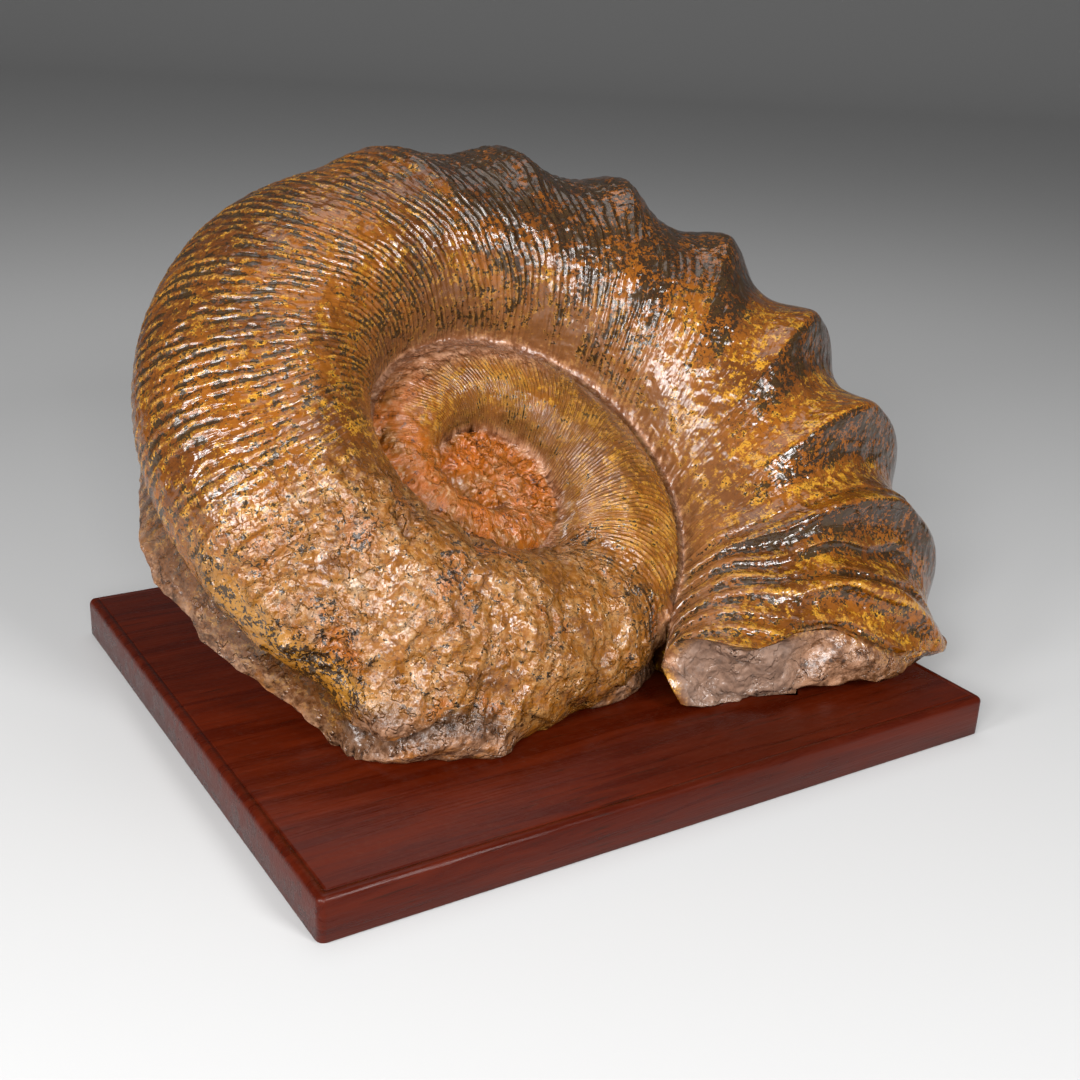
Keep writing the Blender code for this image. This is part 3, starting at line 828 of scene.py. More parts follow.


# %% [markdown]
# The rest of the relief is damage and stone. The worn part has hollows, flakes and chips. Below it
# a ledge of stone stands proud, with a crevice over it that the material darkens with painted
# shade. Inside, a band of stone lies along the seam, and the heart of the coil is rough all over.

# %% Wear, stone and the inner whorls


def worn_relief(tree, use, at):
    """Where the shell is worn, the height of hollows and flakes, and that of chips."""
    worn = on_stretch("worn", at.angle) * smooth(-0.5, 0.1, at.slope) * at.shell
    wear = grain(tree, 0.045, 2.0) * worn * use["Wear height"] * at.size
    flaking = use_group(tree, flakes, Size=0.040, Layers=6.0) * use["Flake height"] * worn
    chips = put(tree, "ShaderNodeTexVoronoi", {"feature": "F1"}, {"Scale": 110.0})
    chipped = grain(tree, 0.010, 3.0, 0.6) * 1.6 + (chips - 0.4) * 0.9
    return worn, wear + flaking, chipped * use["Chip height"] * lerp(0.14, 1.0, worn)


def stone_relief(tree, use, at):
    """Where there is stone and where the crevice is, and their height."""
    cover = between(150 * DEGREE, 0.5, 296 * DEGREE, 0.25, at.angle)
    below = on_stretch("dip", at.angle) * 0.66 - use["Stone edge"] - at.slope
    ledge = smooth(0.0, 0.07, below) * cover
    skirt = between(210 * DEGREE, 0.24, 262 * DEGREE, 0.44, at.angle) * smooth(0.5, 0.0, at.slope)
    stone = clamp01(ledge + smooth(0.35, 0.8, skirt) + at.broken + at.back) * (1.0 - at.heart)
    proud = (use["Stone proud"] * ledge * smooth(238 * DEGREE, 212 * DEGREE, at.angle)
             + use["Skirt"] * skirt * at.shell) * at.size
    lumps = use_group(tree, stone_lumps, Size=0.045) \
        * lerp(use["Stone lumps"], use["Break lumps"], at.broken) * stone
    crevice = between(-0.13, 0.09, 0.07, 0.05, below) * cover * at.shell \
        * smooth(248 * DEGREE, 236 * DEGREE, at.angle)
    return stone, crevice, proud + lumps - crevice * use["Crevice"]


def inner_relief(tree, use, at):
    """Where the band of stone and the seam are, and their height with that of the heart."""
    band = on_stretch("inner band", at.angle) * smooth(1.5, 1.1, at.slope) * at.shell
    seam = clamp01(smooth(0.90, 1.0, at.wall) * at.near
                   + smooth(SEAM_SLOPE + 0.10, SEAM_SLOPE, at.slope) * at.older * at.shell)
    heart = clamp01(at.heart + smooth(470 * DEGREE, 520 * DEGREE, at.angle))
    rough = grain(tree, 0.014, 3.0, 0.6) + grain(tree, 0.004, 3.0, 0.6) * 0.5
    height = (rough * lerp(0.35, 1.0, heart) * clamp01(band + heart) * use["Heart lumps"]
              + band * use["Band rise"] + seam * (rough * 4.0 + 0.7) * use["Seam fillet"])
    return band, seam, height


# %% The relief tree


def hold_in_box(tree, use, at, moved):
    """Keeps every point between the solid's lowest and highest corners, and the rim above it."""
    rim = smooth(0.0, 0.6, at.slope) * smooth(-20 * DEGREE, -32 * DEGREE, at.angle)
    lift = put(tree, "ShaderNodeCombineXYZ", values={2: rim * use["Rim lift"]})
    lowest = vector_calc(tree, "ADD", lift, use["Lowest"])
    lifted = vector_calc(tree, "MAXIMUM", put(tree, "GeometryNodeInputPosition"), lowest)
    return set_position(tree, moved, Position=vector_calc(tree, "MINIMUM", lifted, use["Highest"]))


def relief_tree():
    tree, use = new_tree("relief of the shell", "GeometryNodeTree",
                         {"Geometry": "geometry", **RELIEF, "Lowest": (0.0, 0.0, 0.0),
                          "Highest": (0.0, 0.0, 0.0), "Material": "material"},
                         {"Geometry": "geometry"})
    at = coil_marks(tree, use)
    phase, folds = fold_relief(use, at)
    rib_phase, ribbed, ribs = rib_relief(tree, use, at)
    lip_phase, mouth, lips = lip_relief(tree, use, at)
    worn, wear, chips = worn_relief(tree, use, at)
    stone, crevice, rock = stone_relief(tree, use, at)
    band, seam, inner = inner_relief(tree, use, at)
    height = ((folds * at.shell + ribs * (1.0 - band) + lips) * at.size + wear
              + chips * (1.0 - stone) + rock + inner)
    normal = put(tree, "GeometryNodeInputNormal")
    moved = set_position(tree, use["Geometry"], Offset=scale_vector(tree, normal, height))
    done = hold_in_box(tree, use, at, moved)
    marks = {"stone": stone, "ribbed": ribbed * (1.0 - band), "rib_phase": rib_phase,
             "worn": worn, "phase": phase, "mouth": mouth, "lip_phase": lip_phase,
             "seam": seam, "band": band, "crevice": crevice}
    for key, wire in marks.items():
        done = keep(tree, done, key, wire)
    return end_geometry(tree, done, use["Material"])


relief = relief_tree()
print("the relief tree has", len(relief.nodes), "nodes")

# %% Raise the relief
fossil_finish = bpy.data.materials.new("fossil shell and stone")
raised = grow(mesh_with("skin", skin.points, skin.faces, skin.values), relief,
              Lowest=tuple(fossil_low), Highest=tuple(fossil_high), Material=fossil_finish)
print(len(raised.polygons), "faces after the relief")

# %% [markdown]
# ## The stone underneath
#
# The coil leans back on the stone that still fills its far side. It could be a boulder of its own,
# but rings that run from inside the far flank down to the board leave no gap under the coil. The
# same lumps are raised on it as on the rest of the stone.

# %% The foot of stone
FOOT_SEGMENTS, FOOT_RINGS = 160, 40
FOOT_CENTRE, FOOT_HALF = Vector((0.035, 0.028)), Vector((0.140, 0.118))
FOOT_BULGE = 0.020
FOOT_TOP_REACH, FOOT_TOP_LEAST, FOOT_TOP_HEIGHT, FOOT_FADE = 0.60, 0.36, -0.02, 0.6
NOTCH_AT, NOTCH_WIDTH, NOTCH = -66 * DEGREE, 0.9, 0.42


def foot_rings():
    points = []
    for ring in range(FOOT_RINGS + 1):
        share = ring / FOOT_RINGS
        for segment in range(FOOT_SEGMENTS):
            angle = GAP_ANGLE + TURN * (segment + 0.5) / FOOT_SEGMENTS
            reach = max(FOOT_TOP_REACH * step_up(0.0, FOOT_FADE, angle - GAP_ANGLE),
                        FOOT_TOP_LEAST)
            top = coil_point(angle, keel_size(angle), reach, FOOT_TOP_HEIGHT)
            turn = angle + TURN_ASIDE
            away = abs(math.remainder(angle - NOTCH_AT, TURN))
            size = 1 - NOTCH * step_up(-NOTCH_WIDTH, 0.0, -away)
            foot = Vector((FOOT_CENTRE.x + FOOT_HALF.x * size * math.cos(turn),
                           FOOT_CENTRE.y + FOOT_HALF.y * size * math.sin(turn), fossil_low.z))
            out = Vector((math.cos(turn), math.sin(turn), 0)) * FOOT_BULGE
            points.append(top.lerp(foot, share) + out * math.sin(math.pi * share))
    return points


def foot_skin():
    points = foot_rings()
    faces = []
    for ring in range(FOOT_RINGS):
        for segment in range(FOOT_SEGMENTS):
            after = (segment + 1) % FOOT_SEGMENTS
            upper, lower = ring * FOOT_SEGMENTS, (ring + 1) * FOOT_SEGMENTS
            faces.append((upper + segment, lower + segment, lower + after, upper + after))
    faces.append(range(FOOT_SEGMENTS))
    faces.append(range(FOOT_RINGS * FOOT_SEGMENTS, (FOOT_RINGS + 1) * FOOT_SEGMENTS)[::-1])
    return mesh_with("foot", points, faces, {})


def foot_tree():
    tree, use = new_tree("lumpy foot", "GeometryNodeTree",
                         {"Geometry": "geometry", "Lumps": 0.008, "Lowest": (0.0, 0.0, 0.0),
                          "Material": "material"}, {"Geometry": "geometry"})
    lumps = use_group(tree, stone_lumps, Size=0.045) * use["Lumps"]
    normal = put(tree, "GeometryNodeInputNormal")
    moved = set_position(tree, use["Geometry"], Offset=scale_vector(tree, normal, lumps))
    place = put(tree, "GeometryNodeInputPosition")
    held = vector_calc(tree, "MAXIMUM", place, use["Lowest"])
    done = keep(tree, set_position(tree, moved, Position=held), "stone", 1.0)
    return end_geometry(tree, done, use["Material"])


foot_mesh = grow(foot_skin(), foot_tree(), Lowest=tuple(fossil_low), Material=fossil_finish)
print(len(foot_mesh.polygons), "faces on the foot")


# %% [markdown]
# ## Finished pieces
#
# A finished piece rides on the imported body and stands for its solid.

# %% The fossil's pieces


def outward(mesh):
    """Turns a closed mesh's faces to the outside if their volume comes out negative."""
    work = bmesh.new()
    work.from_mesh(mesh)
    bmesh.ops.recalc_face_normals(work, faces=work.faces)
    if work.calc_volume(signed=True) < 0:
        bmesh.ops.reverse_faces(work, faces=work.faces)
    loose = sum(len(edge.link_faces) != 2 for edge in work.edges)
    work.to_mesh(mesh)
    work.free()
    return loose


def piece(name, mesh, node):
    loose = outward(mesh)
    mesh.shade_smooth()
    made = bpy.data.objects.new(name, mesh)
    bpy.context.scene.collection.objects.link(made)
    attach(made, "root")
    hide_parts(node)
    triangles = sum(len(face.vertices) - 2 for face in mesh.polygons)
    print(name, "has", triangles, "triangles and", loose, "open edges")
    return made


piece("ammonite_fossil", raised, "ammonite")
piece("ammonite_stone_foot", foot_mesh, "ammonite")

# %% [markdown]
# ## The board
#
# The board is one piece of mahogany with eased corners and a rounded upper edge. A bevelled box
# would round every edge alike. So the outline is drawn as rings at different heights, and the
# rounding and the faint groove inside it are both real.

# %% The board's rings
CORNER_RADIUS, CORNER_STEPS = 0.004, 8
ARRIS, ARRIS_STEPS = 0.0035, 8
LEAST_RADIUS, LOWER_ARRIS = 0.0008, 0.0006
GROOVE_IN, GROOVE_WIDE, GROOVE_DEEP = 0.0046, 0.0016, 0.0005


def board_ring(inset, height):
    """A rounded rectangle, inset from the board's edge, at a height."""
    radius = max(CORNER_RADIUS - inset, LEAST_RADIUS)
    ring = []
    for corner, (x, y) in enumerate(((1, 1), (-1, 1), (-1, -1), (1, -1))):
        middle = Vector((x * (board_high.x - inset - radius), y * (board_high.y - inset - radius)))
        for step in range(CORNER_STEPS + 1):
            turn = (corner + step / CORNER_STEPS) * TURN / 4
            ring.append((middle.x + radius * math.cos(turn), middle.y + radius * math.sin(turn),
                         height))
    return ring


def board_profile():
    """Inset and height of each ring, from the underside up, over the arris and the groove."""
    top = board_high.z
    rings = [(LOWER_ARRIS, board_low.z), (0.0, board_low.z + LOWER_ARRIS), (0.0, top - ARRIS)]
    for step in range(1, ARRIS_STEPS + 1):
        turn = step / ARRIS_STEPS * TURN / 4
        rings.append((ARRIS * (1 - math.cos(turn)), top - ARRIS * (1 - math.sin(turn))))
    for share in (0.0, 0.25, 0.5, 0.75, 1.0):
        depth = GROOVE_DEEP * math.sin(math.pi * share)
        rings.append((GROOVE_IN + GROOVE_WIDE * share, top - depth))
    return rings


def board_mesh():
    profile = board_profile()
    points, faces = [], []
    for inset, height in profile:
        points += board_ring(inset, height)
    count = 4 * (CORNER_STEPS + 1)
    for ring in range(len(profile) - 1):
        for index in range(count):
            after = (index + 1) % count
            low, high = ring * count, (ring + 1) * count
            faces.append((low + index, low + after, high + after, high + index))
    faces.append(range(count)[::-1])
    faces.append(range((len(profile) - 1) * count, len(profile) * count))
    mesh = bpy.data.meshes.new("board")
    mesh.from_pydata(points, [], faces)
    return mesh


board = piece("mahogany_board", board_mesh(), "board")
board_finish = bpy.data.materials.new("polished mahogany")
board.data.materials.append(board_finish)

# %% [markdown]
# ## Effects that the finishes share
#
# Dust lies on the fossil and the board alike, where they face up, and worn stone is pitted all
# over. Each effect could be mixed again in every material, but a shader group with named inputs is
# built once, puts out a mask, and is used with the sizes that suit each surface.

# %% Shared shader groups


def specks_group():
    tree, use = new_tree("specks", "ShaderNodeTree",
                         {"Vector": (0.0, 0.0, 0.0), "Size": 0.004, "Amount": 0.5,
                          "Sharpness": 0.06}, {"Mask": 0.0})
    scaled = scale_vector(tree, use["Vector"], calc(tree, "DIVIDE", 1.0, use["Size"]))
    spots = grain(tree, 1.0, 4.0, 0.65, vector=scaled)
    edge = 0.5 - use["Amount"]
    return finish_tree(tree, Mask=smooth(edge - use["Sharpness"], edge + use["Sharpness"], spots))


def dust_group():
    tree, use = new_tree("dust", "ShaderNodeTree", {"Vector": (0.0, 0.0, 0.0), "Amount": 0.3},
                         {"Mask": 0.0})
    normal = put(tree, "ShaderNodeNewGeometry", output=1)
    upward = put(tree, "ShaderNodeSeparateXYZ", values={0: normal}, output=2)
    fine = grain(tree, 0.003, 5.0, 0.7, vector=use["Vector"])
    lies = smooth(0.3, 1.0, upward) * smooth(-0.02, 0.22, fine)
    return finish_tree(tree, Mask=lies * use["Amount"])


specks, dust = specks_group(), dust_group()


def shader_of(material):
    material.use_nodes = True
    tree = material.node_tree
    tree.nodes.clear()
    shader = tree.nodes.new("ShaderNodeBsdfPrincipled")
    end = tree.nodes.new("ShaderNodeOutputMaterial")
    tree.links.new(shader.outputs[0], end.inputs[0])
    return tree, shader


MIX_SHARE, MIX_UNDER, MIX_OVER, MIX_COLOUR = 0, 6, 7, 2  # a colour mix node's own sockets


def layers(tree, base, *coats):
    """A colour with coats laid over it; each coat is a colour and how much of it shows."""
    for colour, share in coats:
        mix = tree.nodes.new("ShaderNodeMix")
        mix.data_type = "RGBA"
        for value, socket in ((share, MIX_SHARE), (base, MIX_UNDER), (colour, MIX_OVER)):
            plug(tree, (*value, 1) if isinstance(value, tuple) else value, mix.inputs[socket])
        base = Wire(tree, mix.outputs[MIX_COLOUR])
    return base


def bump(tree, height, depth):
    return put(tree, "ShaderNodeBump",
               values={"Strength": 1.0, "Distance": depth, "Height": height})


# %% [markdown]
# ## The fossil's finish
#
# The shell has turned to ochre and brown stone with black mottle, all under varnish. Painted shade
# makes it nearly black in the grooves, under the lips and on the backs of the folds, and the pale
# crests carry a painted highlight over their own colour. The stone round it is a dull pinkish
# brown.
# The relief tree wrote down what each point is, and the material mixes its colours from that.

# %% The fossil's shades
OCHRE, UMBER = (0.200, 0.060, 0.003), (0.090, 0.025, 0.002)
GOLD, VEIN = (0.43, 0.200, 0.013), (0.045, 0.014, 0.003)
# The crest shade is also a painted highlight on the rib crests and the lip edges.
OLD_TAN, CREST_TAN_AND_HIGHLIGHT = (0.270, 0.112, 0.020), (0.400, 0.190, 0.032)
# The nearly black shade is black mottle with painted shade laid into it.
WALL_BROWN, BLACK_AND_PAINTED_SHADE = (0.190, 0.082, 0.032), (0.016, 0.008, 0.003)
WORN_BROWN, WORN_TAN = (0.200, 0.068, 0.006), (0.290, 0.140, 0.042)
# The pale worn shade is partly the stone's own paler tone and partly a painted sheen.
WORN_ORANGE, WORN_PALE_AND_SHEEN = (0.300, 0.074, 0.004), (0.270, 0.215, 0.145)
WORN_HOLLOW, WORN_VEIN = (0.085, 0.030, 0.010), (0.050, 0.020, 0.010)
# The crevice shade is painted shade.
WORN_GOLD, CREVICE_PAINTED_SHADE = (0.380, 0.180, 0.022), (0.020, 0.009, 0.004)
BAND_BROWN, BAND_PALE = (0.182, 0.065, 0.024), (0.410, 0.205, 0.114)
HEART_ORANGE, HEART_BROWN = (0.390, 0.092, 0.0025), (0.220, 0.076, 0.0100)
HEART_PALE, HEART_DARK = (0.400, 0.200, 0.080), (0.066, 0.021, 0.0066)
ROCK_BROWN, ROCK_PALE = (0.115, 0.048, 0.020), (0.265, 0.140, 0.080)
# The dark rock shade is painted shadow.
ROCK_RUST, ROCK_PAINTED_SHADOW = (0.240, 0.080, 0.010), (0.032, 0.0154, 0.0083)
BREAK_PALE, BREAK_GREY = (0.34, 0.19, 0.12), (0.19, 0.125, 0.095)
BREAK_RUST, FOSSIL_DUST = (0.20, 0.080, 0.022), (0.60, 0.50, 0.40)

# %% What the finish reads
FOSSIL_MARKS = ("angle", "slope", "wall", "broken", "heart", "stone", "ribbed", "rib_phase", "worn",
                "phase", "mouth", "lip_phase", "seam", "band", "crevice")


def survey(tree):
    """What each point is, as the relief tree wrote it down, and the noises that mottle it."""
    on = SimpleNamespace(**{name: put(tree, "ShaderNodeAttribute", {"attribute_name": name},
                                      output=2) for name in FOSSIL_MARKS})
    on.place = put(tree, "ShaderNodeTexCoord", output=3)
    on.lip = on.lip_phase.calc("FRACT")
    on.rib = ((on.rib_phase * TURN).calc("COSINE") + 1.0) * 0.5
    on.older = smooth(280 * DEGREE, 300 * DEGREE, on.angle)
    on.broad = grain(tree, 0.06, 3.0, vector=on.place)
    on.uneven = grain(tree, 0.034, 3.0, 0.6, vector=on.place)
    on.patchy = grain(tree, 0.018, 6.0, 0.75, vector=on.place)
    on.middle = grain(tree, 0.006, 4.0, 0.65, vector=on.place)
    on.fine = grain(tree, 0.0022, 3.0, 0.7, vector=on.place)
    on.vein = smooth(0.035, 0.0, grain(tree, 0.008, 4.0, 0.6, vector=on.place).calc("ABSOLUTE"))
    across = put(tree, "ShaderNodeCombineXYZ",
                 values={0: on.lip_phase * 5.0, 1: on.slope * 1.5, 2: on.wall * 2.0})
    on.lines = grain(tree, 1.0, 3.0, 0.6, vector=across) \
        * (1.0 - clamp01(on.worn + on.stone + on.heart))
    on.mottle = on.patchy * 0.7 + on.middle * 1.1 + on.fine * 0.7 + on.lines * 0.35
    on.inner = clamp01(smooth(452 * DEGREE, 512 * DEGREE, on.angle + on.broad * 2.0) + on.heart)
    on.edge = on_stretch("gold edge", on.angle) * between(-0.6, 0.2, 0.35, 0.3, on.slope)
    return on


# %% The shell's colours


def mottle_and_painted_shade(on):
    """Where the shell is nearly black: its black mottle, thickened by painted shade in grooves,
    under lips, on the backs of the folds and over the top.
    """
    # Painted shade: the backs of the folds, the stretch over the top, the rib grooves and the
    # undersides of the lips are darkened beyond the shell's own mottle.
    shaded = between(0.46, 0.2, 1.04, 0.08, on.phase.calc("FRACT")) \
        * smooth(7.5, 5.5, on.phase) * smooth(0.2, 1.0, on.phase) * smooth(0.75, 0.1, on.wall)
    upper = on_stretch("top mottle and shade", on.angle) * smooth(0.6, 0.0, on.wall)
    groove = on.ribbed * smooth(0.60, 0.10, on.rib) \
        * (1.0 - clamp01(on.older + smooth(1.0, 1.5, on.slope)) * 0.5)
    under_lip = on.mouth * between(0.35, 0.30, 1.0, 0.08, on.lip)
    darkness = clamp01(shaded * 0.90 + upper * 0.68 + groove * 0.72 + under_lip * 0.9
                       + on.worn * (0.12 + smooth(0.0, 0.12, on.uneven) * 0.30)
                       + on.edge * 0.50 + on.ribbed * 0.46 * (1.0 - on.older))
    speckle = on.patchy * 0.6 + on.middle * 1.6 + on.fine * 2.0 + darkness * 0.54 - 0.33
    return smooth(0.0, 0.10, speckle) * (1.0 - clamp01(on.band + on.seam + on.heart) * 0.8)


def worn_colour(tree, on):
    painted_sheen = on_stretch("painted_sheen", on.angle)
    return layers(tree, WORN_BROWN,
                  (WORN_TAN, smooth(-0.10, 0.16, on.mottle)),
                  (WORN_ORANGE, smooth(0.03, 0.15, on.uneven * 0.6 + on.patchy * 0.5) * 0.75),
                  # Pale patches: partly the worn stone's own paler tone, and on its left stretch a
                  # painted sheen that stands in for glints.
                  (WORN_PALE_AND_SHEEN, smooth(0.12, 0.24, on.patchy + painted_sheen * 0.10) * 0.50),
                  (WORN_HOLLOW, smooth(0.02, 0.20, -on.patchy) * 0.8),
                  (WORN_VEIN, on.vein * 0.6),
                  (WORN_GOLD, on.edge * 0.7))


def shell_colour(tree, on):
    # Painted highlight on the edges of the lips, and on the rib crests over their own paler tone.
    crest_tone_and_highlight = clamp01(on.ribbed * smooth(0.55, 0.9, on.rib) * 0.8
                  + on.mouth * smooth(0.2, 0.02, on.lip))
    return layers(tree, OCHRE,
                  (UMBER, smooth(-0.10, 0.14, on.broad)),
                  (GOLD, smooth(0.0, 0.13, on.mottle)),
                  (VEIN, on.vein * 0.7),
                  (OLD_TAN, on.older * on.ribbed * 0.4),
                  (CREST_TAN_AND_HIGHLIGHT, crest_tone_and_highlight * smooth(-0.10, 0.16, on.mottle)),
                  (worn_colour(tree, on), on.worn),
                  (WALL_BROWN, smooth(0.25, 0.9, on.wall) * 0.55),
                  # Nearly black mottle with painted shade laid into it.
                  (BLACK_AND_PAINTED_SHADE, mottle_and_painted_shade(on) * 0.95))


# %% The stone's colours


def band_colour(tree, on):
    return layers(tree, BAND_BROWN, (BAND_PALE, smooth(-0.12, 0.16, on.mottle)))


def heart_colour(tree, on):
    return layers(tree, HEART_ORANGE,
                  (HEART_BROWN, smooth(-0.14, 0.14, on.patchy)),
                  (HEART_PALE, smooth(0.10, 0.26, on.mottle)),
                  (HEART_DARK, smooth(0.10, 0.26, -on.mottle)))


def rock_colour(tree, on):
    """The stone's colours; on the break they run from grey on the left to rust on the right."""
    eastward = put(tree, "ShaderNodeSeparateXYZ", values={0: on.place}, output=0)
    return layers(tree, ROCK_BROWN,
                  (ROCK_PALE, smooth(-0.14, 0.16, on.mottle)),
                  (ROCK_RUST, smooth(0.0, 0.14, on.patchy) * 0.8),
                  # Dark spots of painted shadow in the stone, placed by noise rather than by the
                  # lumps.
                  (ROCK_PAINTED_SHADOW, smooth(0.10, 0.30, -on.mottle)),
                  (BREAK_PALE, on.broken * smooth(-0.05, 0.15, on.patchy) * 0.7),
                  (BREAK_GREY, on.broken * smooth(0.112, 0.088, eastward) * 0.65),
                  (BREAK_RUST, on.broken * smooth(0.135, 0.165, eastward) * 0.6))


# %% [markdown]
# Varnish over crumpled stone glitters because each facet is smooth and tilted its own way. Fine
# noise in the bump would only look like felt. So the bump is made of large soft facets, creases and
# terraces, and they are strongest where the surface is worn or bare stone.

# %% The fossil's finest relief
TERRACES = 6.0


def fine_relief(tree, on):
    sheet = grain(tree, 0.013, 2.0, 0.45, vector=on.place)
    facet = grain(tree, 0.0055, 1.5, 0.4, vector=on.place)
    crease = grain(tree, 0.011, 2.0, 0.5, vector=on.place).calc("ABSOLUTE")
    steps = grain(tree, 0.020, 4.0, 0.62, vector=on.place) * TERRACES
    rise = steps.calc("FRACT")
    terrace = (steps - rise + smooth(0.82, 1.0, rise)) / TERRACES
    pits = use_group(tree, specks, Vector=on.place, Size=0.004, Amount=0.30, Sharpness=0.10)
    coarse = clamp01(on.worn + on.stone + on.inner + on.band) \
        * lerp(0.22, 1.15, smooth(-0.09, 0.10, on.uneven))
    return (sheet * lerp(1.6, 3.0, coarse) + facet * lerp(0.45, 1.5, coarse)
            + crease * lerp(0.8, 2.0, coarse) + terrace * lerp(0.0, 6.0, coarse)
            + on.fine * lerp(0.04, 0.50, coarse) - pits * 0.12 * coarse
            + (on.rib ** 1.5) * on.ribbed * 0.3 + on.lines * 0.35
            + on.mouth * (smooth(0.5, 0.0, on.lip) + smooth(0.9, 1.0, on.lip)) * 0.5)


# %% Fossil material


def finish_fossil():
    tree, shader = shader_of(fossil_finish)
    on = survey(tree)
    colour = layers(tree, shell_colour(tree, on),
                    (band_colour(tree, on), clamp01(on.band + on.seam)),
                    (heart_colour(tree, on), on.inner * (1.0 - on.seam * (1.0 - on.heart) * 0.8)),
                    (rock_colour(tree, on), on.stone),
                    # Painted shade in the crevice.
                    (CREVICE_PAINTED_SHADE, on.crevice * 0.75),
                    (FOSSIL_DUST, use_group(tree, dust, Vector=on.place, Amount=0.02)))
    plug(tree, colour, shader.inputs["Base Color"])
    gloss = lerp(0.12, 0.22, smooth(-0.1, 0.2, on.patchy)) + on.stone * 0.12 + on.ribbed * 0.10
    plug(tree, gloss, shader.inputs["Roughness"])
    shader.inputs["IOR"].default_value = 1.5
    shader.inputs["Specular IOR Level"].default_value = 0.62
    plug(tree, bump(tree, fine_relief(tree, on), 0.0018), shader.inputs["Normal"])


finish_fossil()
print("the fossil's finish has", len(fossil_finish.node_tree.nodes), "nodes")

# %% [markdown]
# ## Mahogany
#
# The wood is dark red-brown with long streaks and short dark pores along its length. Noise that is
# stretched along X gives both, in two sizes, and the polish is a low roughness.

# %% Mahogany material
WOOD_RED, WOOD_LIGHT = (0.036, 0.0028, 0.0003), (0.064, 0.0060, 0.0005)
WOOD_DARK, WOOD_PORE = (0.030, 0.004, 0.001), (0.012, 0.003, 0.001)
WOOD_DUST = (0.3, 0.17, 0.11)


def finish_board():
    tree, shader = shader_of(board_finish)
    place = put(tree, "ShaderNodeTexCoord", output=3)
    streak = grain(tree, 0.010, 4.0, 0.6, vector=place, stretch=(0.10, 1.0, 1.0), distortion=0.6)
    fibre = grain(tree, 0.0016, 3.0, 0.6, vector=place, stretch=(0.05, 1.0, 1.0))
    broad = grain(tree, 0.09, 2.0, vector=place, stretch=(0.35, 1.0, 1.0))
    wood = layers(tree, WOOD_RED,
                  (WOOD_LIGHT, smooth(-0.2, 0.2, streak)),
                  (WOOD_DARK, smooth(0.0, 0.3, broad) * 0.6),
                  (WOOD_PORE, smooth(0.10, 0.22, fibre) * 0.65),
                  (WOOD_DUST, use_group(tree, dust, Vector=place, Amount=0.02)))
    plug(tree, wood, shader.inputs["Base Color"])
    plug(tree, lerp(0.24, 0.36, smooth(-0.2, 0.2, streak)), shader.inputs["Roughness"])
    shader.inputs["Specular IOR Level"].default_value = 0.15
    plug(tree, bump(tree, fibre * -0.6 + streak * 0.3, 0.0004), shader.inputs["Normal"])


finish_board()
print("the board's finish has", len(board_finish.node_tree.nodes), "nodes")

# %% [markdown]
# ## Floor and light
#
# The floor is pale and bends up into a wall behind the object, so it has no horizon there. A few
# small soft lights stand round the camera, because varnish shows its lumps in small bright
# reflections, and a wide faint one hangs overhead.

# %% Stage
FLOOR_NEAR, FLOOR_FAR, FLOOR_HALF, COVE, WALL_TOP = -30.0, 5.0, 40.0, 3.0, 12.0
COVE_STEPS, FLOOR_BELOW = 12, 0.0005
FLOOR_COLOUR, SURROUND = (0.49, 0.49, 0.49, 1), (0.215, 0.215, 0.215, 1)
AIM = Vector((0.0, 0.0, 0.10))


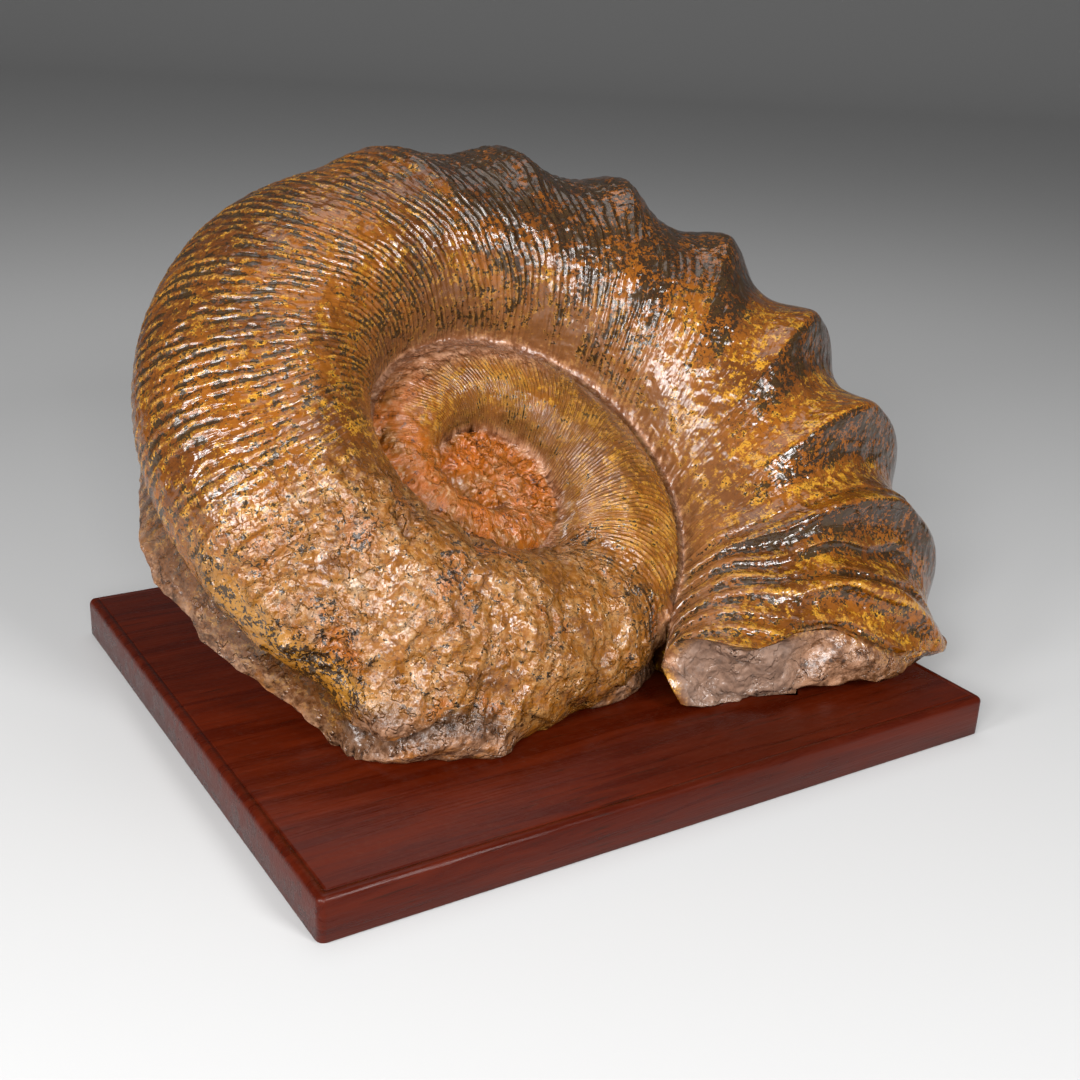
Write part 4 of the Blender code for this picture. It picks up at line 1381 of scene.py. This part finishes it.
def make_floor():
    """A flat floor that bends up into a far wall, square to the camera's line of sight."""
    far = [(FLOOR_NEAR, 0.0), (FLOOR_FAR, 0.0)]
    far += [(FLOOR_FAR + COVE * math.sin(turn), COVE * (1 - math.cos(turn)))
            for turn in np.linspace(0.0, TURN / 4, COVE_STEPS + 1)[1:]]
    far.append((far[-1][0], WALL_TOP))
    ahead = Vector((-math.sin(CAMERA_AZIMUTH), math.cos(CAMERA_AZIMUTH), 0))
    aside = Vector((ahead.y, -ahead.x, 0)) * FLOOR_HALF
    points = [ahead * reach + Vector((0, 0, rise)) + aside * side
              for reach, rise in far for side in (-1, 1)]
    faces = [(step, step + 1, step + 3, step + 2) for step in range(0, len(points) - 2, 2)]
    mesh = bpy.data.meshes.new("floor")
    mesh.from_pydata([tuple(point) for point in points], [], faces)
    mesh.shade_smooth()
    finish = bpy.data.materials.new("pale floor")
    shader = shader_of(finish)[1]
    shader.inputs["Base Color"].default_value = FLOOR_COLOUR
    shader.inputs["Roughness"].default_value = 0.8
    shader.inputs["Specular IOR Level"].default_value = 0.2
    mesh.materials.append(finish)
    floor = bpy.data.objects.new("floor", mesh)
    floor.location.z = -FLOOR_BELOW
    bpy.context.scene.collection.objects.link(floor)


def soft_light(name, azimuth, elevation, distance, size, power):
    """A rectangular light aimed at the fossil, placed by two angles in degrees and a distance."""
    light = bpy.data.lights.new(name, "AREA")
    light.shape = "RECTANGLE"
    light.size, light.size_y = size
    light.energy = power
    around, above = math.radians(azimuth), math.radians(elevation)
    way = Vector((math.cos(around) * math.cos(above), math.sin(around) * math.cos(above),
                  math.sin(above)))
    lamp = bpy.data.objects.new(name, light)
    lamp.location = AIM + way * distance
    lamp.rotation_mode = "QUATERNION"
    lamp.rotation_quaternion = (-way).to_track_quat("-Z", "Y")
    lamp.visible_camera = False
    bpy.context.scene.collection.objects.link(lamp)


LIGHTS = (("key light", -80, 28, 1.7, (0.45, 0.4), 21.0),
          ("front light", -112, 20, 1.7, (0.35, 0.3), 12.0),
          ("front left light", -142, 24, 1.7, (0.5, 0.4), 20.0),
          ("left light", -166, 17, 1.5, (0.4, 0.45), 15.0),
          ("overhead light", 70, 74, 1.8, (1.2, 1.2), 7.0))
make_floor()
for light in LIGHTS:
    soft_light(*light)
world = bpy.data.worlds.new("studio")
bpy.context.scene.world = world
world.use_nodes = True
world.node_tree.nodes["Background"].inputs["Color"].default_value = SURROUND
bpy.context.scene.view_settings.view_transform = "Standard"
print(len(LIGHTS), "lights round the object")
